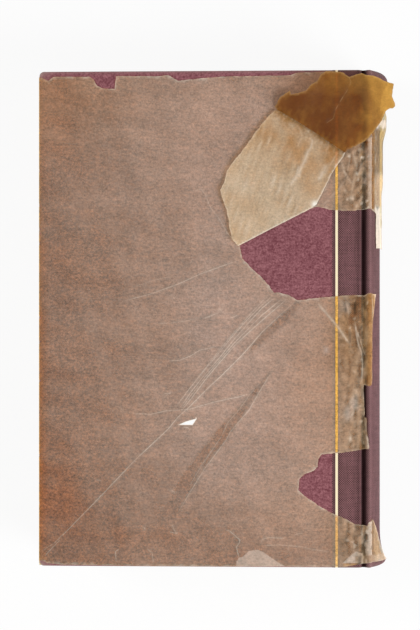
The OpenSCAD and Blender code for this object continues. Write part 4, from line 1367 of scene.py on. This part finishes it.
def turned_back():
    """The piece of the wrapper that is folded back over the panel."""
    torn, crease, right, fold = (pixels(k) for k in (TURNED_TORN, TURNED_CREASE, TURNED_RIGHT, TURNED_FOLD))
    outline = torn_outline([(torn, 0.6, 0.12), (crease, 0.6, 0.12), (right, 0.7, 0.04), (fold, 0.7, 0.03)])
    streaks = [(pixels(line), *rest) for line, *rest in TURNED_HIGHLIGHT_STREAKS]
    bright_corner = at(*TURNED_BRIGHT)

    def values(points):
        p, y = points[:, 0], points[:, 1]
        d_torn, d_crease, d_right, d_fold = (line_distance(points, k) for k in (torn, crease, right, fold))
        slant = np.stack([p * 0.94 + y * 0.345, (p * 0.345 - y * 0.94) * 0.16], axis=1)
        wrinkles = 0.8 * waves(slant, 42, 4.2) + 0.7 * waves(slant, 46, 1.7)
        wrinkles *= np.clip(0.6 + 0.6 * waves(points, 49, 12), 0.2, 1.4)
        crinkle = bell(d_crease, 6)
        height = 0.34 + 0.10 * waves(points, 41, 14) + 0.9 * bell(d_torn, 7)
        height += 0.20 * wrinkles + 0.16 * crinkle * waves(points, 43, 2.6)
        # The wrinkles lighten the tone and mark their ridges pale, and the crinkles by the crease add pale
        # marks: painted highlights on shiny wrinkles
        tone = 0.1 + 0.25 * waves(points, 45, 22) + 0.36 * wrinkles - 0.2 * bell(d_torn, 5)
        tone += 0.7 * crinkle * waves(points, 48, 2.4) + 0.35 * smooth(20, 34, d_crease)
        mark = 0.2 * crinkle * unit(waves(points, 44, 2.0)) + 0.12 * unit(wrinkles - 0.6)
        tone, mark, height = crease_field(points, streaks, tone, mark, height)
        height *= smooth(-0.4, 2.5, d_fold) * 0.8 + 0.2
        for pale, gap, reach in ((0.6, d_fold, 0.6), (0.7, d_right, 0.45), (0.25, d_torn, 0.4)):
            mark = np.maximum(mark, pale * fade(gap, reach))
        mark = np.maximum(mark, 1.2 * bell(np.linalg.norm(points - bright_corner, axis=1), 1.5))
        cloud = 1 - smooth(11, 25, d_crease + 3 * waves(points, 38, 14))
        smudge = np.clip(0.75 + 0.5 * waves(points, 40, 9), 0, 1.3)
        brown = 0.06 + 0.56 * cloud * smudge + 0.10 * waves(points, 47, 10)
        # Browner and dimmer along the crease with the tongue: painted shadow of the fold
        brown += np.exp(-d_crease / (1.2 + 0.7 * waves(points, 39, 4)))
        return {
            "height": np.clip(height, 0.24, None), "mark": unit(mark), "tone": np.clip(tone, -1.5, 1.5),
            "brown": unit(brown), "dim": 0.5 * np.exp(-d_crease / 1.3),
        }

    inner = filled(outline, 0.8, [(line, half) for line, half, *_ in streaks])
    return cut_sheet("wrapper_turned_back", outline, inner, on_back, GLASSINE_T, values)


# Standing tongue, in pixels of the photograph
TONGUE_EDGE = [
    (276.5, 109.6), (274.5, 107), (276.5, 104.7), (280, 98), (290, 92), (291, 95.6), (298, 94.6), (306, 92),
    (311, 86.5), (316.5, 83.7), (320.7, 76.7), (326, 73.2), (335, 73.9), (343, 75), (348.7, 79.7),
    (355.5, 76.8), (361, 75.6), (364, 77), (373, 78), (378, 80), (385, 83.7), (392.8, 86.1),
    (391.6, 92.3), (391, 98.3), (393.8, 105.5), (394, 108.6), (392, 110.7), (389, 110.7),
    (384.5, 114), (380, 124), (372.6, 134), (364, 142.6), (354, 147.5), (347, 150.3), (344.8, 153),
]
# How high it stands in mm, how far it reaches from its crease, and how far round it curls
CURL_H, CURL_REACH, CURL_TURN = 7.6, 40, math.radians(150)
TONGUE_LINE = [(347, 77), (350.5, 84), (348, 91), (342, 100), (335.5, 111), (333, 120), (327, 124)]


def tongue():
    """Torn strip that stands up from its crease and curls over towards the spine. Also gives the
    direction in which it is pressed flat, and a point of its crease."""
    edge, line, crease = pixels(TONGUE_EDGE), pixels(TONGUE_LINE), pixels(TURNED_CREASE)
    outline = torn_outline([(edge, 0.6, 0.12), (crease[::-1], 0.6, 0.12)])
    start, end = np.array(crease[0]), np.array(crease[-1])
    run = (end - start) / np.linalg.norm(end - start)
    away = np.array([-run[1], run[0]])
    if (edge[len(edge) // 2] - start) @ away < 0:
        away = -away

    def place(points, offset):
        return np.stack([CREST_X - points[:, 0], points[:, 1], MID_Z + SKIN_U + offset], axis=1)

    def values(points):
        reach = np.clip((points - start) @ away, 0, None)
        gap, rim = line_distance(points, line), line_distance(points, edge)
        curl = CURL_H * np.sin(np.clip(reach / CURL_REACH * CURL_TURN, 0, math.pi)) ** 0.8
        height = 0.3 + curl * (0.75 + 0.25 * smooth(0, 20, (points - start) @ run)) + 0.3 * bell(gap, 0.8)
        height += 0.35 * waves(points, 51, 15) * smooth(1, 8, reach)
        height += 0.12 * waves(points, 52, 5) * smooth(1, 6, reach)
        height += 0.14 * np.exp(-reach / 5) * waves(points, 56, 2.6)
        mark = 0.3 * fade(gap, 0.3) * unit(0.6 + 0.7 * waves(points, 58, 5))
        right = CREST_X - points[:, 0]
        # Painted backlight: lighter over the spine and beyond it, where the tongue stands over the white
        # floor; it also gets lighter towards its top
        painted_backlight = 0.30 * smooth(64, 72, right) + smooth(71, 76.5, right) + 0.6 * smooth(78, 82, right)
        painted_backlight += 0.5 * smooth(97, 105, points[:, 1])
        tone = -1.05 + painted_backlight + 0.25 * waves(points, 53, 12) + 0.12 * waves(points, 55, 4)
        tone += 0.35 * bell(rim, 0.6) * (reach > 3)
        tone += 0.3 * np.exp(-reach / 6) * waves(points, 57, 2.2) + 0.45 * np.exp(-reach / 2)
        return {
            "height": np.clip(height, 0.3, None), "mark": np.maximum(mark, 0.25 * fade(rim, 0.5)),
            "tone": np.clip(tone, -1.5, 1.5), "brown": unit(0.2 + 0.3 * waves(points, 54, 9)),
        }

    inner = filled(outline, 0.9, [(line, 0.28)])
    piece = cut_sheet("wrapper_tongue_curl", outline, inner, place, GLASSINE_T, values)
    level, upwards_part = 0.985, 0.17
    across = (-level * away[0], level * away[1], upwards_part)
    anchor = ((CREST_X - start[0]) * MM, start[1] * MM, (MID_Z + SKIN_U + 0.3) * MM)
    return piece, across, anchor


# Stage, light, camera
WORLD_LIGHT = 0.27
WHITE = (1.0, 1.0, 1.0)


def seen_by_eye(s):
    """1 for rays that the camera sees directly, in a gloss or through a sheet, else 0."""
    rays = s.put("LightPath").outputs
    eye = s.plus(rays["Is Camera Ray"], rays["Is Glossy Ray"])
    return s.plus(eye, rays["Is Transmission Ray"], clamp=True)


def world():
    """White to the eye, and a dimmer light on the book."""
    s = Shader(bpy.data.worlds.new("studio"))
    strength = s.linear(seen_by_eye(s), 1 - WORLD_LIGHT, WORLD_LIGHT)
    back = s.put("Background", Color=WHITE, Strength=strength)
    s.put("OutputWorld", Surface=back.outputs[0])
    bpy.context.scene.world = s.owner


def floor():
    size, z = 3000, -0.02
    corners = [(-size, -size, z), (size, -size, z), (size, size, z), (-size, size, z)]
    piece = finish_mesh("floor", corners, [(0, 1, 2, 3)])
    s = Shader(bpy.data.materials.new("floor_white"))
    white = s.put("BsdfDiffuse", Color=(0.95, 0.95, 0.95)).outputs[0]
    glow = s.put("Emission", Color=WHITE, Strength=1.0).outputs[0]
    piece.data.materials.append(s.surface(s.shaders(s.times(seen_by_eye(s), 0.90), white, glow)))


def lamp(name, place, size, power):
    """Round lamp that looks at the middle of the book."""
    target = Vector((0, 0, 0.03))
    data = bpy.data.lights.new(name, "AREA")
    data.shape = "DISK"
    data.size = size
    data.energy = power
    made = add_object(name, data)
    made.location = place
    made.rotation_euler = (target - Vector(place)).to_track_quat("-Z", "Y").to_euler()


def camera():
    """Straight above the cover, tilted a little towards the spine, as in the photograph."""
    tilt, distance, sensor = math.radians(3), 1.0, 36
    look_x, look_y = 0.0028, 0.0017
    target = Vector((look_x, look_y, (MID_Z + SKIN_U) * MM))
    back = Vector((math.sin(tilt), 0, math.cos(tilt)))
    right = Vector((math.cos(tilt), 0, -math.sin(tilt)))
    data = bpy.data.cameras.new("camera")
    data.sensor_fit = "AUTO"
    data.sensor_width = sensor
    data.lens = sensor * distance / (PHOTO_H * PX_MM * MM)
    data.clip_start = 0.01
    made = add_object("camera", data)
    turn = Matrix((right, Vector((0, 1, 0)), back)).transposed().to_4x4()
    made.matrix_world = Matrix.Translation(target + back * distance) @ turn
    bpy.context.scene.camera = made


# Assembly
def dress(name, material):
    """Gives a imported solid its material."""
    mesh = frame["nodes"][name].data
    mesh.materials.clear()
    mesh.materials.append(material)


def wear(piece, material, slot, body, *replaced):
    """Gives a piece its material and body, and hides the nodes that it replaces; slot is not used."""
    piece.data.materials.append(material)
    if body:
        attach(piece, body)
    if replaced:
        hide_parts(*replaced)


def over_joint(piece):
    """Bakes a piece's transform into its mesh."""
    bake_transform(piece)


camera()
world()
floor()
lamp("key", (1.05, -0.5, 0.72), 0.7, 16.5)
lamp("fill", (-1.15, 0.25, 0.75), 0.8, 9.5)

cloth_mapped = book_cloth_material()
gilt = gilt_material()
maroon = side_paper_material()
endpaper = paper_material("endpaper_cream", (0.66, 0.56, 0.40), (0.80, 0.72, 0.56), 0.5)
board = paper_material("greyboard", (0.24, 0.21, 0.16), (0.36, 0.32, 0.25), 0.3, 3)
card = paper_material("card", (0.30, 0.24, 0.16), (0.42, 0.34, 0.24), 0.2, 2)
kraft = paper_material("kraft", (0.30, 0.20, 0.11), (0.44, 0.32, 0.19), 0.0, 2)
stripes = headband_material()
gauze = gauze_material()
leaf_edges = leaves_material()
glassine = glassine_material(
    "glassine_browned",
    ((0.68, 0.77, 0.69), (0.98, 0.78, 0.65), (0.86, 0.50, 0.20), (0.96, 0.84, 0.70)),
    ((1.0, 0.83, 0.31), (1.0, 0.66, 0.14)), (0.18, 0.39),
)
glassine_turned = glassine_material(
    "glassine_turned",
    ((0.80, 0.58, 0.36), (0.98, 0.82, 0.62), (0.62, 0.35, 0.13), (0.97, 0.91, 0.80)),
    ((1.0, 0.81, 0.35), (1.0, 0.66, 0.20)), (0.40, 0.58), 0.38, 0.7,
)
glassine_amber = glassine_material(
    "glassine_amber",
    ((0.180, 0.058, 0.009), (0.80, 0.42, 0.080), (0.30, 0.13, 0.03), (0.82, 0.60, 0.30)),
    ((0.95, 0.50, 0.10), (0.90, 0.40, 0.06)), (0.74, 0.90), 0.4, 0.45, 0.2,
)

COVERS = (("back", 1), ("front", -1))
dress("spine_lining", kraft)
for name in ("head_band", "tail_band"):
    dress(name, stripes)
wear(card_inlay(), card, "card", "book_block", "spine_card")
for name, side in COVERS:
    cover = name + "_cover"
    dress(name + "_gilt_rule", gilt)
    dress(name + "_board", board)
    dress(name + "_hinge_gauze", gauze)
    wear(board_paper(name + "_board_paper", side), maroon, "side_paper", cover, name + "_side_paper")
    wear(flyleaf(name + "_free_endpaper", side), endpaper, "endpaper", "book_block", name + "_flyleaf")
    pasted = pastedown(name + "_pasted_endpaper", side)
    wear(pasted, endpaper, "endpaper", None, name + "_pastedown")
    over_joint(pasted)
wear(leaf_block(), leaf_edges, "leaves", "book_block", "text_block")
for name, side in COVERS:
    cloth = case_cloth("case_cloth_" + name, side)
    wear(cloth, cloth_mapped, "book_cloth", None, "spine_cloth", name + "_cloth")
    over_joint(cloth)

panel = back_panel()
wear(panel, glassine, "glassine", None, "wrapper_back", "wrapper_head_scrap", "wrapper_tail_scrap")
over_joint(panel)
wear(front_panel(), glassine, "glassine", "front_cover", "wrapper_front")
wear(turned_back(), glassine_turned, "glassine", "back_cover", "wrapper_back")
curl, across, anchor = tongue()
wear(curl, glassine_amber, "glassine_tongue", "back_cover", "wrapper_tongue")
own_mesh(curl)
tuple(across)
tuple(anchor)

scene = bpy.context.scene
scene.view_settings.view_transform = "Standard"
scene.cycles.transparent_max_bounces = 24
